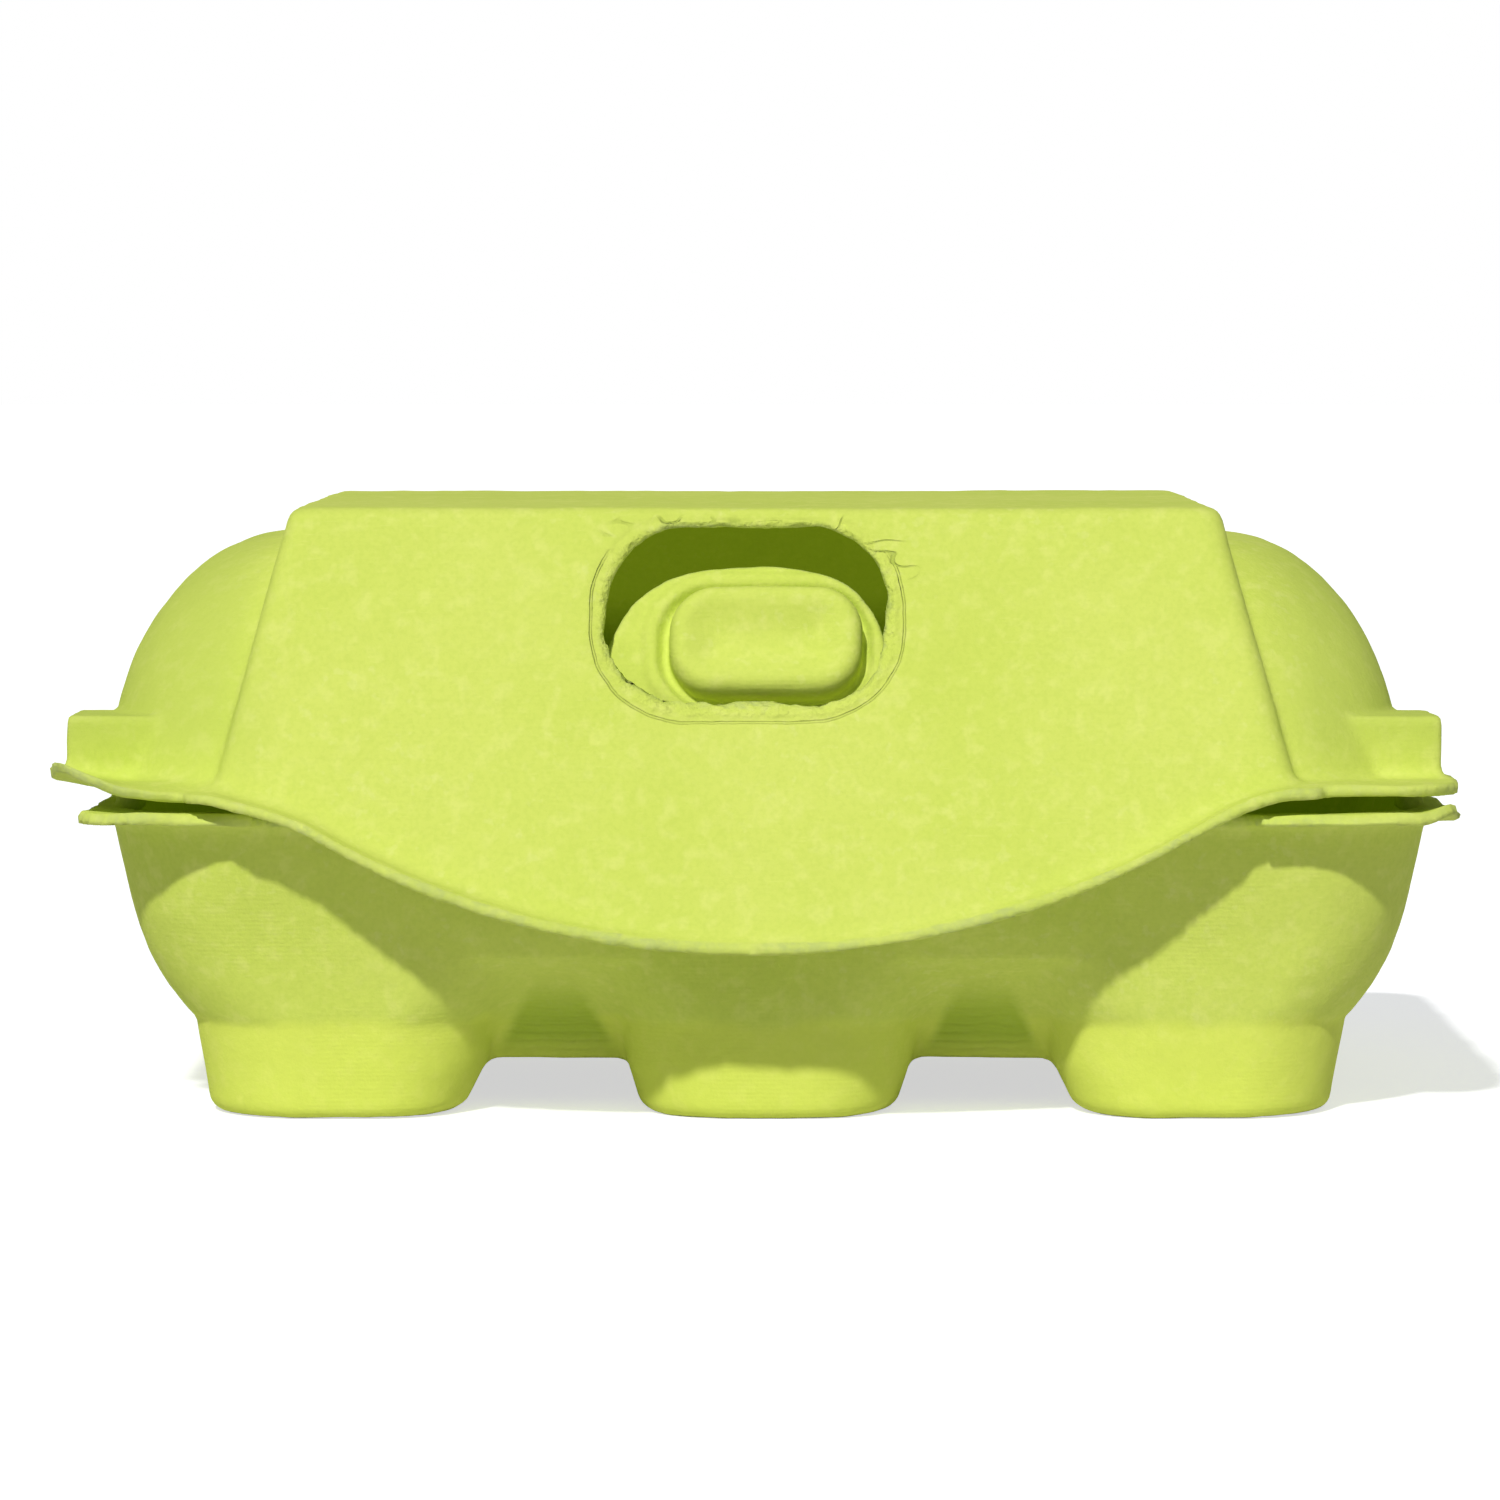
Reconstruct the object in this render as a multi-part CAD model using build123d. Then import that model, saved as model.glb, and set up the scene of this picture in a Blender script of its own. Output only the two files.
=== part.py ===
from build123d import *
import os
from math import atan, cos, radians, sin, tan

os.makedirs("parts", exist_ok=True)

# A six-egg carton of moulded pulp: a tray of two rows of three cells, a lid that hinges on the
# tray's rear edge, and a lock flap that stands on the tray's front wall and fills the lid's window.
# X runs along the carton, the front faces -Y, and the carton stands on its six feet at Z = 0.
# All sizes are in millimetres and angles in degrees.

# Pulp and rows
WALL = 1.6                # thickness of the moulded pulp
PITCH_X = 46.0            # from cell to cell along a row
PITCH_Y = 45.0            # from row to row

# One cell, from the foot up: each step has its rise and how far it goes out along X and along Y
FOOT_HALF = 14.6          # half the width of a foot
FOOT_CORNER = 7.4         # corner radius of a foot, seen from above
FOOT_EDGE = 2.4           # bevel round the bottom of a foot
FOOT_HEIGHT = 10.0
FOOT_DRAFT = 8.0
SHOULDER_RISE = 6.2
SHOULDER_OUT_X = 4.4
SHOULDER_OUT_Y = 3.4
BELLY_RISE = 8.0
BELLY_OUT_X = 2.6
BELLY_OUT_Y = 2.0
COLLAR_RISE = 9.3
COLLAR_OUT_X = 1.9
COLLAR_OUT_Y = 1.1

# What joins the cells under the eggs
WEB_Z = 5.3               # lowest line of the web between two feet
WEB_FLAT = 5.0            # width of that line
WEB_TOP_HALF = 14.0       # half the width of a web where it meets the tray wall
POST_RISE = 26.0          # height of a centre post above the tray wall's lower edge
POST_BASE_RADIUS = 9.4
POST_TOP_RADIUS = 5.2
POST_COLLAR = 0.6         # flat ring left round the foot of a post

# Rims, which face each other with a gap
RIM_GAP = 2.0
TRAY_RIM_OUT = 2.4        # how far the tray's rim stands out of its wall at the ends
LID_RIM_OUT = 4.6         # how far the lid's rim stands out of the domes at the ends
RIM_FRONT_OUT = 3.0       # how far both stand out at the front corners
RIM_CORNER = 8.0

# Lid
FRONT_LEAN = 20.0         # lean of the lid's front and rear faces from upright
SIDE_LEAN = 16.0          # lean of the saddle's side faces
FIT = 0.8                 # room between the tray's front wall and the lid's front face
LID_RISE = 29.5           # height of the saddle's top above the lid rim's underside
SADDLE_HALF = 48.8        # half the length of the saddle's flat top
SADDLE_EDGE = 2.4         # rounding of the saddle's edges
DOME_DROP = 3.0           # how far the end domes stay below the saddle's top
DOME_IN = 0.5             # how far a dome's wall stands in from the tray's wall, at the ends
DOME_ROUND_X = 18.5       # how far the dome rounds in at the ends
DOME_ROUND_Y = 8.0        # how far it rounds in at the front and rear
DOME_LEAN = 15.0          # lean of its front and rear from upright
DOME_CORNER = 20.0
DOME_STEPS = 6
APRON_DROP = 16.2         # how far the apron hangs below the lid's rim at the middle
APRON_STEP = 4.26         # how far the apron's ends stand in from the saddle's side faces

# Locating lugs: hollow ears on the lid's ends, over stubs on the tray's rim
EAR_OUT = 2.8             # how far an ear stands out of the dome's wall
EAR_RISE = 6.2            # height of an ear above the lid's rim
EAR_FRONT = 37.0          # distance of an ear's front face from the middle
EAR_LENGTH = 12.0
EAR_DEPTH = 6.0           # how far an ear reaches in through the dome's wall
STUB_RISE = 5.0
STUB_THICK = 3.2
STUB_FIT = 0.6            # room round a stub inside its ear

# Window and lock
WINDOW_WIDTH = 30.5
WINDOW_HEIGHT = 19.6
WINDOW_CORNER = 8.5
WINDOW_DOWN = 1.9         # from the saddle's top edge down the front face to the window
FLAP_SET_BACK = 6.0       # how much more the flap leans than the lid's front face
FLAP_BASE_HALF = 20.0
FLAP_TOP_HALF = 13.9
FLAP_HEIGHT = 26.6        # from the crease to the flap's top, along the flap
FLAP_SHOULDER = 6.5       # height of the rounded part at the top of the flap
CREASE_FROM_WALL = 0.7    # height of the flap's crease above the tray's wall
CREASE_FREE = 0.8         # bare length of the crease above its fold line
BUTTON_WIDTH = 20.9
BUTTON_HEIGHT = 11.6
BUTTON_CORNER = 4.6
BUTTON_UP = 11.6          # from the crease to the button's lower edge, along the flap
BUTTON_BEHIND = 0.4       # how far the button's lower edge stays behind the lid's wall
BUTTON_UNDER = 0.5        # how far its upper edge stays under the lid's outer face

# Worked out from the sizes above
SHOULDER_Z = FOOT_HEIGHT + SHOULDER_RISE
BELLY_Z = SHOULDER_Z + BELLY_RISE
RIM_Z = BELLY_Z + COLLAR_RISE
FOOT_TOP_HALF = FOOT_HALF + FOOT_HEIGHT * tan(radians(FOOT_DRAFT))
CORNER_CORE = FOOT_HALF - FOOT_CORNER            # half the straight part of a foot's side
CELL_HALF_X = FOOT_TOP_HALF + SHOULDER_OUT_X + BELLY_OUT_X + COLLAR_OUT_X
CELL_HALF_Y = FOOT_TOP_HALF + SHOULDER_OUT_Y + BELLY_OUT_Y + COLLAR_OUT_Y
TRAY_HALF_X = PITCH_X + CELL_HALF_X
TRAY_HALF_Y = PITCH_Y / 2 + CELL_HALF_Y
POST_TOP = SHOULDER_Z + POST_RISE
LID_Z = RIM_Z + RIM_GAP
TOP_Z = LID_Z + LID_RISE
DOME_TOP = TOP_Z - DOME_DROP
DOME_HALF_X = TRAY_HALF_X - DOME_IN
DOME_HALF_Y = TRAY_HALF_Y
LEAN_RUN = tan(radians(FRONT_LEAN))
SIDE_RUN = tan(radians(SIDE_LEAN))
APRON_HALF = SADDLE_HALF + LID_RISE * SIDE_RUN - APRON_STEP
FACE_THICK = WALL / cos(radians(FRONT_LEAN))
FACE_Y = TRAY_HALF_Y + FIT + FACE_THICK          # lid's front face at the height of the tray's rim
APRON_Z = LID_Z - APRON_DROP
HALF_WIDTH = FACE_Y + (RIM_Z - APRON_Z) * LEAN_RUN
REAR_RIM = HALF_WIDTH - WALL                     # rear edges of the two rims
MARGIN = 5.0                                     # how far cutting shapes pass what they cut


def stack(sections):
    """A solid through rounded rectangles: each is height, half length, half width, corner radius."""
    faces = [
        Pos(0, 0, z) * RectangleRounded(2 * half_x, 2 * half_y, corner)
        for z, half_x, half_y, corner in sections
    ]
    return loft(faces, ruled=True)


def block(x0, x1, y0, y1, z0, z1):
    """A box between two corners."""
    middle = Pos((x0 + x1) / 2, (y0 + y1) / 2, (z0 + z1) / 2)
    return middle * Box(x1 - x0, y1 - y0, z1 - z0)


def both_ends(piece):
    """A piece and its mirror image at the other end of the carton."""
    return piece + mirror(piece, about=Plane.YZ)


def cell_steps():
    """Heights and half sizes up a cell's outer wall, from the top of its foot to the rim."""
    steps = [
        (FOOT_HEIGHT, 0, 0),
        (SHOULDER_RISE, SHOULDER_OUT_X, SHOULDER_OUT_Y),
        (BELLY_RISE, BELLY_OUT_X, BELLY_OUT_Y),
        (COLLAR_RISE, COLLAR_OUT_X, COLLAR_OUT_Y),
    ]
    z, half_x, half_y = 0, FOOT_TOP_HALF, FOOT_TOP_HALF
    for rise, out_x, out_y in steps:
        z += rise
        half_x += out_x
        half_y += out_y
        yield z, half_x, half_y


def cell(inset):
    """One cell about its own middle: its outside, or its inside at an inset of one wall."""
    foot = FOOT_HALF - inset
    edge = foot - FOOT_EDGE
    sections = [
        (inset, edge, edge, edge - CORNER_CORE),
        (FOOT_EDGE + inset, foot, foot, foot - CORNER_CORE),
    ]
    for z, half_x, half_y in cell_steps():
        round_corner = half_y - inset - CORNER_CORE
        sections.append((z, half_x - inset, half_y - inset, round_corner))
    return stack(sections)


def wall_band(inset):
    """The wall round all six cells, from the shoulders up."""
    sections = []
    for z, half_x, half_y in list(cell_steps())[1:]:
        length = PITCH_X + half_x - inset
        width = PITCH_Y / 2 + half_y - inset
        sections.append((z, length, width, half_y - inset - CORNER_CORE))
    first, last = sections[0], sections[-1]
    sections[0] = (first[0] + inset, *first[1:])
    if inset:
        sections.append((last[0] + MARGIN, *last[1:]))
    return stack(sections)


def web(length, inset):
    """A trough along X under neighbouring cells, about its own middle.

    Its inside is its outside raised so far that the sloping sides are one wall thick.
    """
    slope = (SHOULDER_Z - WEB_Z) / (WEB_TOP_HALF - WEB_FLAT / 2)
    lift = inset / cos(atan(slope))
    low = WEB_Z + lift
    high = SHOULDER_Z + lift
    top = high + WALL
    spread = WALL / slope
    outline = Polyline(
        (-WEB_TOP_HALF - spread, top),
        (-WEB_FLAT / 2, low),
        (WEB_FLAT / 2, low),
        (WEB_TOP_HALF + spread, top),
        close=True,
    )
    return extrude(Plane.YZ * make_face(outline), length / 2, both=True)


def webs(inset):
    """The troughs along both rows and across the three columns."""
    along = web(2 * PITCH_X, inset)
    across = Rot(0, 0, 90) * web(PITCH_Y, inset)
    rows = [Pos(0, side * PITCH_Y / 2, 0) * along for side in (-1, 1)]
    columns = [Pos(place * PITCH_X, 0, 0) * across for place in (-1, 0, 1)]
    return rows + columns


def post(inset):
    """A centre post about the middle: its outside, or the hollow in it at an inset of one wall."""
    base = SHOULDER_Z - (MARGIN if inset else 0)
    height = POST_TOP - inset - base
    taper = (POST_BASE_RADIUS - POST_TOP_RADIUS) / POST_RISE
    low_radius = POST_BASE_RADIUS - inset + (SHOULDER_Z - base) * taper
    high_radius = low_radius - height * taper
    return Pos(0, 0, base + height / 2) * Cone(low_radius, high_radius, height)


def tray_parts():
    """The tray's cells, posts, rim and stubs, cut from one pulp shell."""
    places = [(i * PITCH_X, j * PITCH_Y / 2) for j in (-1, 1) for i in (-1, 0, 1)]
    post_places = [(side * PITCH_X / 2, 0) for side in (-1, 1)]
    outside = wall_band(0).fuse(*webs(0), *[Pos(x, y, 0) * cell(0) for x, y in places])
    inside = wall_band(WALL).fuse(*webs(WALL), *[Pos(x, y, 0) * cell(WALL) for x, y in places])
    for x, y in post_places:
        outside = outside + Pos(x, y, 0) * post(0) - Pos(x, y, 0) * post(WALL)
        inside = inside - Pos(x, y, 0) * post(0)
    shell = outside - inside

    parts = {}
    collar = POST_BASE_RADIUS + POST_COLLAR
    for name, (x, y) in zip(("left_post", "right_post"), post_places):
        cutter = Pos(x, y, POST_TOP / 2) * Cylinder(collar, POST_TOP + MARGIN)
        parts[name] = shell & cutter
        shell = shell - cutter
    columns = {"left": -1, "centre": 0, "right": 1}
    far = TRAY_HALF_X + MARGIN
    for row, side in (("front", -1), ("rear", 1)):
        for column, i in columns.items():
            x0 = i * PITCH_X - PITCH_X / 2 if i > -1 else -far
            x1 = i * PITCH_X + PITCH_X / 2 if i < 1 else far
            y0, y1 = sorted((0, side * far))
            parts[f"{row}_{column}_cell"] = shell & block(x0, x1, y0, y1, -MARGIN, RIM_Z)

    parts["tray_rim"] = rim(RIM_Z - WALL, TRAY_HALF_X + TRAY_RIM_OUT) - wall_band(0)
    stub_high = DOME_HALF_X + EAR_OUT - WALL - STUB_FIT
    stub_low = stub_high - STUB_THICK
    stub_front = EAR_FRONT - WALL - STUB_FIT
    stub_rear = EAR_FRONT - EAR_LENGTH + WALL + STUB_FIT
    stub = block(stub_low, stub_high, -stub_front, -stub_rear, RIM_Z, RIM_Z + STUB_RISE)
    parts["right_stub"] = stub
    parts["left_stub"] = mirror(stub, about=Plane.YZ)
    return parts


def rim(low, half_length):
    """A flat rim one wall thick round the ends and the rear, open where the apron passes."""
    front = TRAY_HALF_Y + RIM_FRONT_OUT
    middle_y = (REAR_RIM - front) / 2
    outline = RectangleRounded(2 * half_length, REAR_RIM + front, RIM_CORNER)
    plate = Pos(0, middle_y, low) * extrude(outline, WALL)
    gap = APRON_HALF + FIT
    inner = -TRAY_HALF_Y + MARGIN
    return plate - block(-gap, gap, -HALF_WIDTH, inner, low - MARGIN, low + WALL + MARGIN)


def saddle(inset):
    """The lid's flat-topped middle with leaning faces, which runs down past the apron's edge."""
    low = APRON_Z - MARGIN
    high = TOP_Z - inset
    thick_front = inset / cos(radians(FRONT_LEAN))
    thick_side = inset / cos(radians(SIDE_LEAN))
    sections = []
    for z in (low, high):
        half_y = FACE_Y - (z - RIM_Z) * LEAN_RUN - thick_front
        half_x = SADDLE_HALF + (TOP_Z - z) * SIDE_RUN - thick_side
        sections.append(Pos(0, 0, z) * Rectangle(2 * half_x, 2 * half_y))
    solid = loft(sections, ruled=True)
    edges = solid.edges() - solid.edges().group_by(Axis.Z)[0]
    return fillet(edges, SADDLE_EDGE - inset / 2)


def domes(inset):
    """The rounded body that closes the lid's two ends and runs through under the saddle."""
    sections = []
    for step in range(DOME_STEPS + 1):
        turn = radians(90 * step / DOME_STEPS)
        round_in = 1 - cos(turn)
        z = LID_Z + (DOME_TOP - LID_Z - inset) * sin(turn)
        half_x = DOME_HALF_X - DOME_ROUND_X * round_in - inset
        lean_in = (z - LID_Z) * tan(radians(DOME_LEAN))
        half_y = DOME_HALF_Y - DOME_ROUND_Y * round_in - lean_in - inset
        sections.append((z, half_x, half_y, DOME_CORNER - inset))
    if inset:
        low = sections[0]
        sections.insert(0, (low[0] - MARGIN, *low[1:]))
    return stack(sections)


def ear(inset):
    """The ear at the right end: its outside, or its pocket at an inset of one wall."""
    low = LID_Z - (MARGIN if inset else 0)
    high = LID_Z + WALL + EAR_RISE - inset
    inner = DOME_HALF_X - EAR_DEPTH
    outer = DOME_HALF_X + EAR_OUT - inset
    return block(inner, outer, -EAR_FRONT + inset, -EAR_FRONT + EAR_LENGTH - inset, low, high)


def window(width, height, corner):
    """A cutter through the lid's front face, its upper edge below the saddle's top edge."""
    top_y = -(FACE_Y - (TOP_Z - RIM_Z) * LEAN_RUN)
    face = Plane(
        origin=(0, top_y, TOP_Z),
        x_dir=(1, 0, 0),
        z_dir=(0, -cos(radians(FRONT_LEAN)), sin(radians(FRONT_LEAN))),
    )
    middle = -WINDOW_DOWN - WINDOW_HEIGHT / 2
    outline = face * Pos(0, middle) * RectangleRounded(width, height, corner)
    return extrude(outline, MARGIN, both=True)


def apron_cutter():
    """Everything above the apron's curved lower edge, in front of the tray."""
    radius = (APRON_HALF**2 + APRON_DROP**2) / (2 * APRON_DROP)
    drum = Pos(0, -HALF_WIDTH, APRON_Z + radius) * Rot(90, 0, 0) * Cylinder(radius, 2 * HALF_WIDTH)
    front = block(-APRON_HALF, APRON_HALF, -HALF_WIDTH, -TRAY_HALF_Y + MARGIN, 0, LID_Z)
    return drum & front


def lid_parts():
    """The lid's saddle, apron, domes, ears and rim, cut from one pulp shell."""
    saddle_out, dome_out = saddle(0), domes(0)
    inside = saddle(WALL) + domes(WALL)
    pocket, ear_out = both_ends(ear(WALL)), both_ends(ear(0))
    far_x, far_y = DOME_HALF_X + MARGIN, HALF_WIDTH + MARGIN
    below = block(-far_x, far_x, -far_y, far_y, 0, LID_Z)
    shell = saddle_out - inside - window(WINDOW_WIDTH, WINDOW_HEIGHT, WINDOW_CORNER)
    parts = {"lid_saddle": shell - below, "lid_apron": shell & apron_cutter()}

    ends = dome_out - saddle_out - inside - pocket
    ears = ear_out - dome_out - pocket
    right = block(0, far_x, -far_y, far_y, 0, TOP_Z)
    for name, whole in (("dome", ends), ("ear", ears)):
        parts[f"lid_right_{name}"] = whole & right
        parts[f"lid_left_{name}"] = mirror(whole & right, about=Plane.YZ)

    plate = rim(LID_Z, DOME_HALF_X + LID_RIM_OUT)
    parts["lid_rim"] = plate - saddle_out - dome_out - ear_out - domes(WALL) - pocket
    return parts


def flap_plane():
    """The plane through the middle of the flap's thickness, at its crease, facing the front."""
    lean = radians(FRONT_LEAN + FLAP_SET_BACK)
    middle = -TRAY_HALF_Y + WALL / 2
    return Plane(
        origin=(0, middle, RIM_Z + CREASE_FROM_WALL),
        x_dir=(1, 0, 0),
        z_dir=(0, -cos(lean), sin(lean)),
    )


def lid_wall_depth(up):
    """Distance from the flap's middle out to the lid's inner face, at a height up the flap."""
    at_crease = (FIT + WALL / 2 + CREASE_FROM_WALL * LEAN_RUN) * cos(radians(FRONT_LEAN))
    return (at_crease + up * sin(radians(FLAP_SET_BACK))) / cos(radians(FLAP_SET_BACK))


def lock_parts():
    """The lock flap, its button and the crease that carries it on the tray's front wall."""
    plane = flap_plane()
    side = FLAP_HEIGHT - FLAP_SHOULDER
    edge = [
        Line((-FLAP_BASE_HALF, CREASE_FREE), (FLAP_BASE_HALF, CREASE_FREE)),
        Line((FLAP_BASE_HALF, CREASE_FREE), (FLAP_TOP_HALF, side)),
        ThreePointArc((FLAP_TOP_HALF, side), (0, FLAP_HEIGHT), (-FLAP_TOP_HALF, side)),
        Line((-FLAP_TOP_HALF, side), (-FLAP_BASE_HALF, CREASE_FREE)),
    ]
    flap = extrude(plane * make_face(Curve() + edge), WALL / 2, both=True)

    low, high = BUTTON_UP, BUTTON_UP + BUTTON_HEIGHT
    face_low = lid_wall_depth(low) - BUTTON_BEHIND
    face_high = lid_wall_depth(high) + WALL - BUTTON_UNDER
    middle = (low + high) / 2
    reach = WALL / 2 + face_high
    bulge = extrude(
        plane * Pos(0, middle) * RectangleRounded(BUTTON_WIDTH, BUTTON_HEIGHT, BUTTON_CORNER), reach
    )
    side_view = Polyline(
        (low - MARGIN, WALL / 2),
        (low, face_low),
        (high, face_high),
        (high + MARGIN, WALL / 2),
        close=True,
    )
    turned = Plane(origin=plane.origin, x_dir=plane.y_dir, z_dir=(1, 0, 0))
    keep = extrude(turned * make_face(side_view), BUTTON_WIDTH, both=True)
    button = bulge & keep

    flap_outer = plane.from_local_coords(Vector(0, CREASE_FREE, WALL / 2))
    flap_inner = plane.from_local_coords(Vector(0, CREASE_FREE, -WALL / 2))
    fold = Polyline(
        (-TRAY_HALF_Y, RIM_Z),
        (-TRAY_HALF_Y + WALL, RIM_Z),
        (flap_inner.Y, flap_inner.Z),
        (flap_outer.Y, flap_outer.Z),
        close=True,
    )
    crease = extrude(Plane.YZ * make_face(fold), FLAP_BASE_HALF, both=True)
    return {"lock_flap": flap, "lock_button": button, "flap_crease": crease}


def hinge_strip():
    """The fold that joins the rear edges of the two rims."""
    half = DOME_HALF_X - DOME_CORNER
    return block(-half, half, REAR_RIM, HALF_WIDTH, RIM_Z - WALL, LID_Z + WALL)


pieces = {**tray_parts(), **lid_parts(), **lock_parts(), "rear_hinge_strip": hinge_strip()}
for name, piece in pieces.items():
    export_step(piece, f"parts/{name}.step")
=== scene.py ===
"""A lime-green egg carton of moulded pulp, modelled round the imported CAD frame.

The lid, the tray and the lock flap are each one continuous pulp sheet, as the real moulding is.
A sheet is the layer one pulp wall thick under a mould surface. Each mould surface is a distance
field put together from the CAD nodes' own boxes, and a mesh is laid over the sheet by surface
nets. Lengths are in metres and angles in radians.

A pair of values named ..._OVER says where a change begins and where it is complete.
"""

import itertools
from math import atan, cos, hypot, pi, radians, sin, tan

import bmesh
import bpy
import numpy as np
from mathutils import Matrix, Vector


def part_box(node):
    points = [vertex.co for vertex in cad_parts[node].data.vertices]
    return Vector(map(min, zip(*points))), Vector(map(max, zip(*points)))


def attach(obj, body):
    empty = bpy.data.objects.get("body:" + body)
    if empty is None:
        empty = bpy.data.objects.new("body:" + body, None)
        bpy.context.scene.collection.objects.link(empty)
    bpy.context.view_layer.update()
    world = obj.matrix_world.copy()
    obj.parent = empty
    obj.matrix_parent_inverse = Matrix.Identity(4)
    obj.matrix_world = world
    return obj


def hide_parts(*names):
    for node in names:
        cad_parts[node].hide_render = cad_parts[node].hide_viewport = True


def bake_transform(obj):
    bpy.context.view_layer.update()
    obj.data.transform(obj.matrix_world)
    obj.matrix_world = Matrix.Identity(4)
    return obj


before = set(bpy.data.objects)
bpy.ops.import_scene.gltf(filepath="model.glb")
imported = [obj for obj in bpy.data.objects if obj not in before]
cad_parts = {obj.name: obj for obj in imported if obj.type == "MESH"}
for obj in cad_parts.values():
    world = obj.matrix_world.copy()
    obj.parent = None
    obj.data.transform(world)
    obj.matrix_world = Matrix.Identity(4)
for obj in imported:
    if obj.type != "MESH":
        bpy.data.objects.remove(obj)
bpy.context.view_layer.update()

MM = 0.001


def mm(*lengths):
    """Lengths given in millimetres, in metres."""
    return tuple(length * MM for length in lengths)


# ------------------------------------------------------------------ sizes read from the frame
rim_low, rim_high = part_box("lid_rim")
tray_rim_low, tray_rim_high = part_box("tray_rim")
saddle_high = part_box("lid_saddle")[1]
apron_low, apron_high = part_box("lid_apron")
dome_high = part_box("lid_right_dome")[1]
ear_low, ear_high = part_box("lid_right_ear")
stub_low, stub_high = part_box("right_stub")
flap_low, flap_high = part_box("lock_flap")
hinge_low, hinge_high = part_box("rear_hinge_strip")
crease_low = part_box("flap_crease")[0]
centre_low, centre_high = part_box("front_centre_cell")
corner_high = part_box("rear_right_cell")[1]
post_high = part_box("right_post")[1]

PULP = rim_high.z - rim_low.z
LID_Z = rim_low.z
TRAY_Z = tray_rim_high.z
TOP_Z = saddle_high.z + 0.4 * MM
DOME_TOP = dome_high.z
APRON_Z = apron_low.z
APRON_HALF = apron_high.x
PITCH_X = centre_high.x - centre_low.x
ROW_Y = 22.5 * MM
WALL_X = corner_high.x
WALL_Y = corner_high.y
DOME_X = WALL_X - 0.9 * MM
REAR_Y = rim_high.y

# ------------------------------------------------------------------ sizes of every sheet
FLANGE = 1.15 * MM
FLANGE_FROM = 1.5 * MM
FLANGE_PAST = 0.2 * MM
FLANGE_FILLET = 1.5 * MM
RIM_CORNER = 8 * MM
FRONT_OVER = mm(15, 25)
DECKLE = 0.3 * MM
DECKLE_LAYERS = ((6 * MM, 0.5), (2.2 * MM, 0.3), (1 * MM, 0.2))
UNEVEN_LAYERS = (mm(14, 0.16), mm(4.5, 0.07), mm(1.6, 0.035))
EDGE_ROUND = 0.3 * MM
CUT_OVER = mm(-0.35, -0.1)
UNDER_FROM = 0.6
UNDER_FULL = 0.9

# ------------------------------------------------------------------ sizes of the lid
FRONT_LEAN = radians(20)
SADDLE_TOP_X = 49.5 * MM
SADDLE_SIDE_X = 57.3 * MM
SADDLE_EDGE = 1.4 * MM
SADDLE_CORNER = 2.4 * MM
DOME_Y = dome_high.y + 0.5 * MM
DOME_LEAN = radians(18)
DOME_ROUND_X = 18 * MM
DOME_ROUND_Y = 15 * MM
DOME_CORNER = 18 * MM
DOME_TIGHTER = 3 * MM
DOME_EDGE = 2 * MM
DOME_CROWN = 0.985          # share of the rise up to which the rounding is followed
EAR_IN = 3 * MM
EAR_EDGE = 0.8 * MM
BODY_FILLET = 0.7 * MM
EAR_FILLET = 0.6 * MM
APRON_TURN = 4 * MM
LID_SHIFT = -1.6 * MM

LIP_OUT = 1.5 * MM
LIP_LEFT = 4 * MM
LIP_LEFT_OVER = mm(5, 45)
LIP_RIGHT = 2.2 * MM
LIP_RIGHT_OVER = mm(20, 52)
LIP_ENDS_OVER = mm(66, 54)
LID_ROUGHER = 0.8
LID_ROUGH_OVER = mm(-10, 30)
LID_PLY = 0.22 * MM
LID_PLY_FROM = 0.25
LID_PLY_FULL = 0.65

WINDOW_ACROSS = -0.8 * MM
WINDOW_HALF = mm(14.9, 9.9)
WINDOW_CORNER = 8.5 * MM
WINDOW_DOWN = 12.2 * MM
WINDOW_BACK = 20 * MM
WINDOW_ROUND = 0.4 * MM
WINDOW_TEAR = 0.35 * MM
WINDOW_TEAR_LOW = 0.75 * MM
WINDOW_TEAR_OVER = (WINDOW_DOWN - 4 * MM, WINDOW_DOWN + 3 * MM)
WINDOW_TEAR_FINER = 1.6
WINDOW_RING = 1.7 * MM
RING_DEEP = 0.4 * MM
RING_SIDE = 0.5 * MM
WORN_DEEP = 0.35 * MM
WORN_OVER = mm(0.9, 0)

# ------------------------------------------------------------------ sizes of the tray
# each row: height, then half the cell's length and half its width on the outside
CELL_PROFILE = np.array([
    (0, 14.7, 14.7), (2, 14.9, 14.9), (10.2, 16.2, 16.2), (11.2, 17.1, 16.5), (12.5, 18.1, 16.8),
    (13.8, 19.0, 17.1), (15.1, 19.75, 17.4), (16.4, 20.4, 17.7), (17.7, 21.0, 18.0),
    (20.3, 21.9, 18.7), (22.9, 22.6, 19.5), (25.5, 23.2, 20.3), (28.2, 23.8, 21.1),
    (33.5, 24.9, 22.5),
]) * MM
CELL_RISE, CELL_OUT, CELL_DEEP = CELL_PROFILE.T
# each row: height, then how far in Y the centres of the corners' rounding lie from the middle
CORE_RISE, CORE = np.array([(0, 3.6), (10, 4.4), (22, 7.2)]).T * MM
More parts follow.
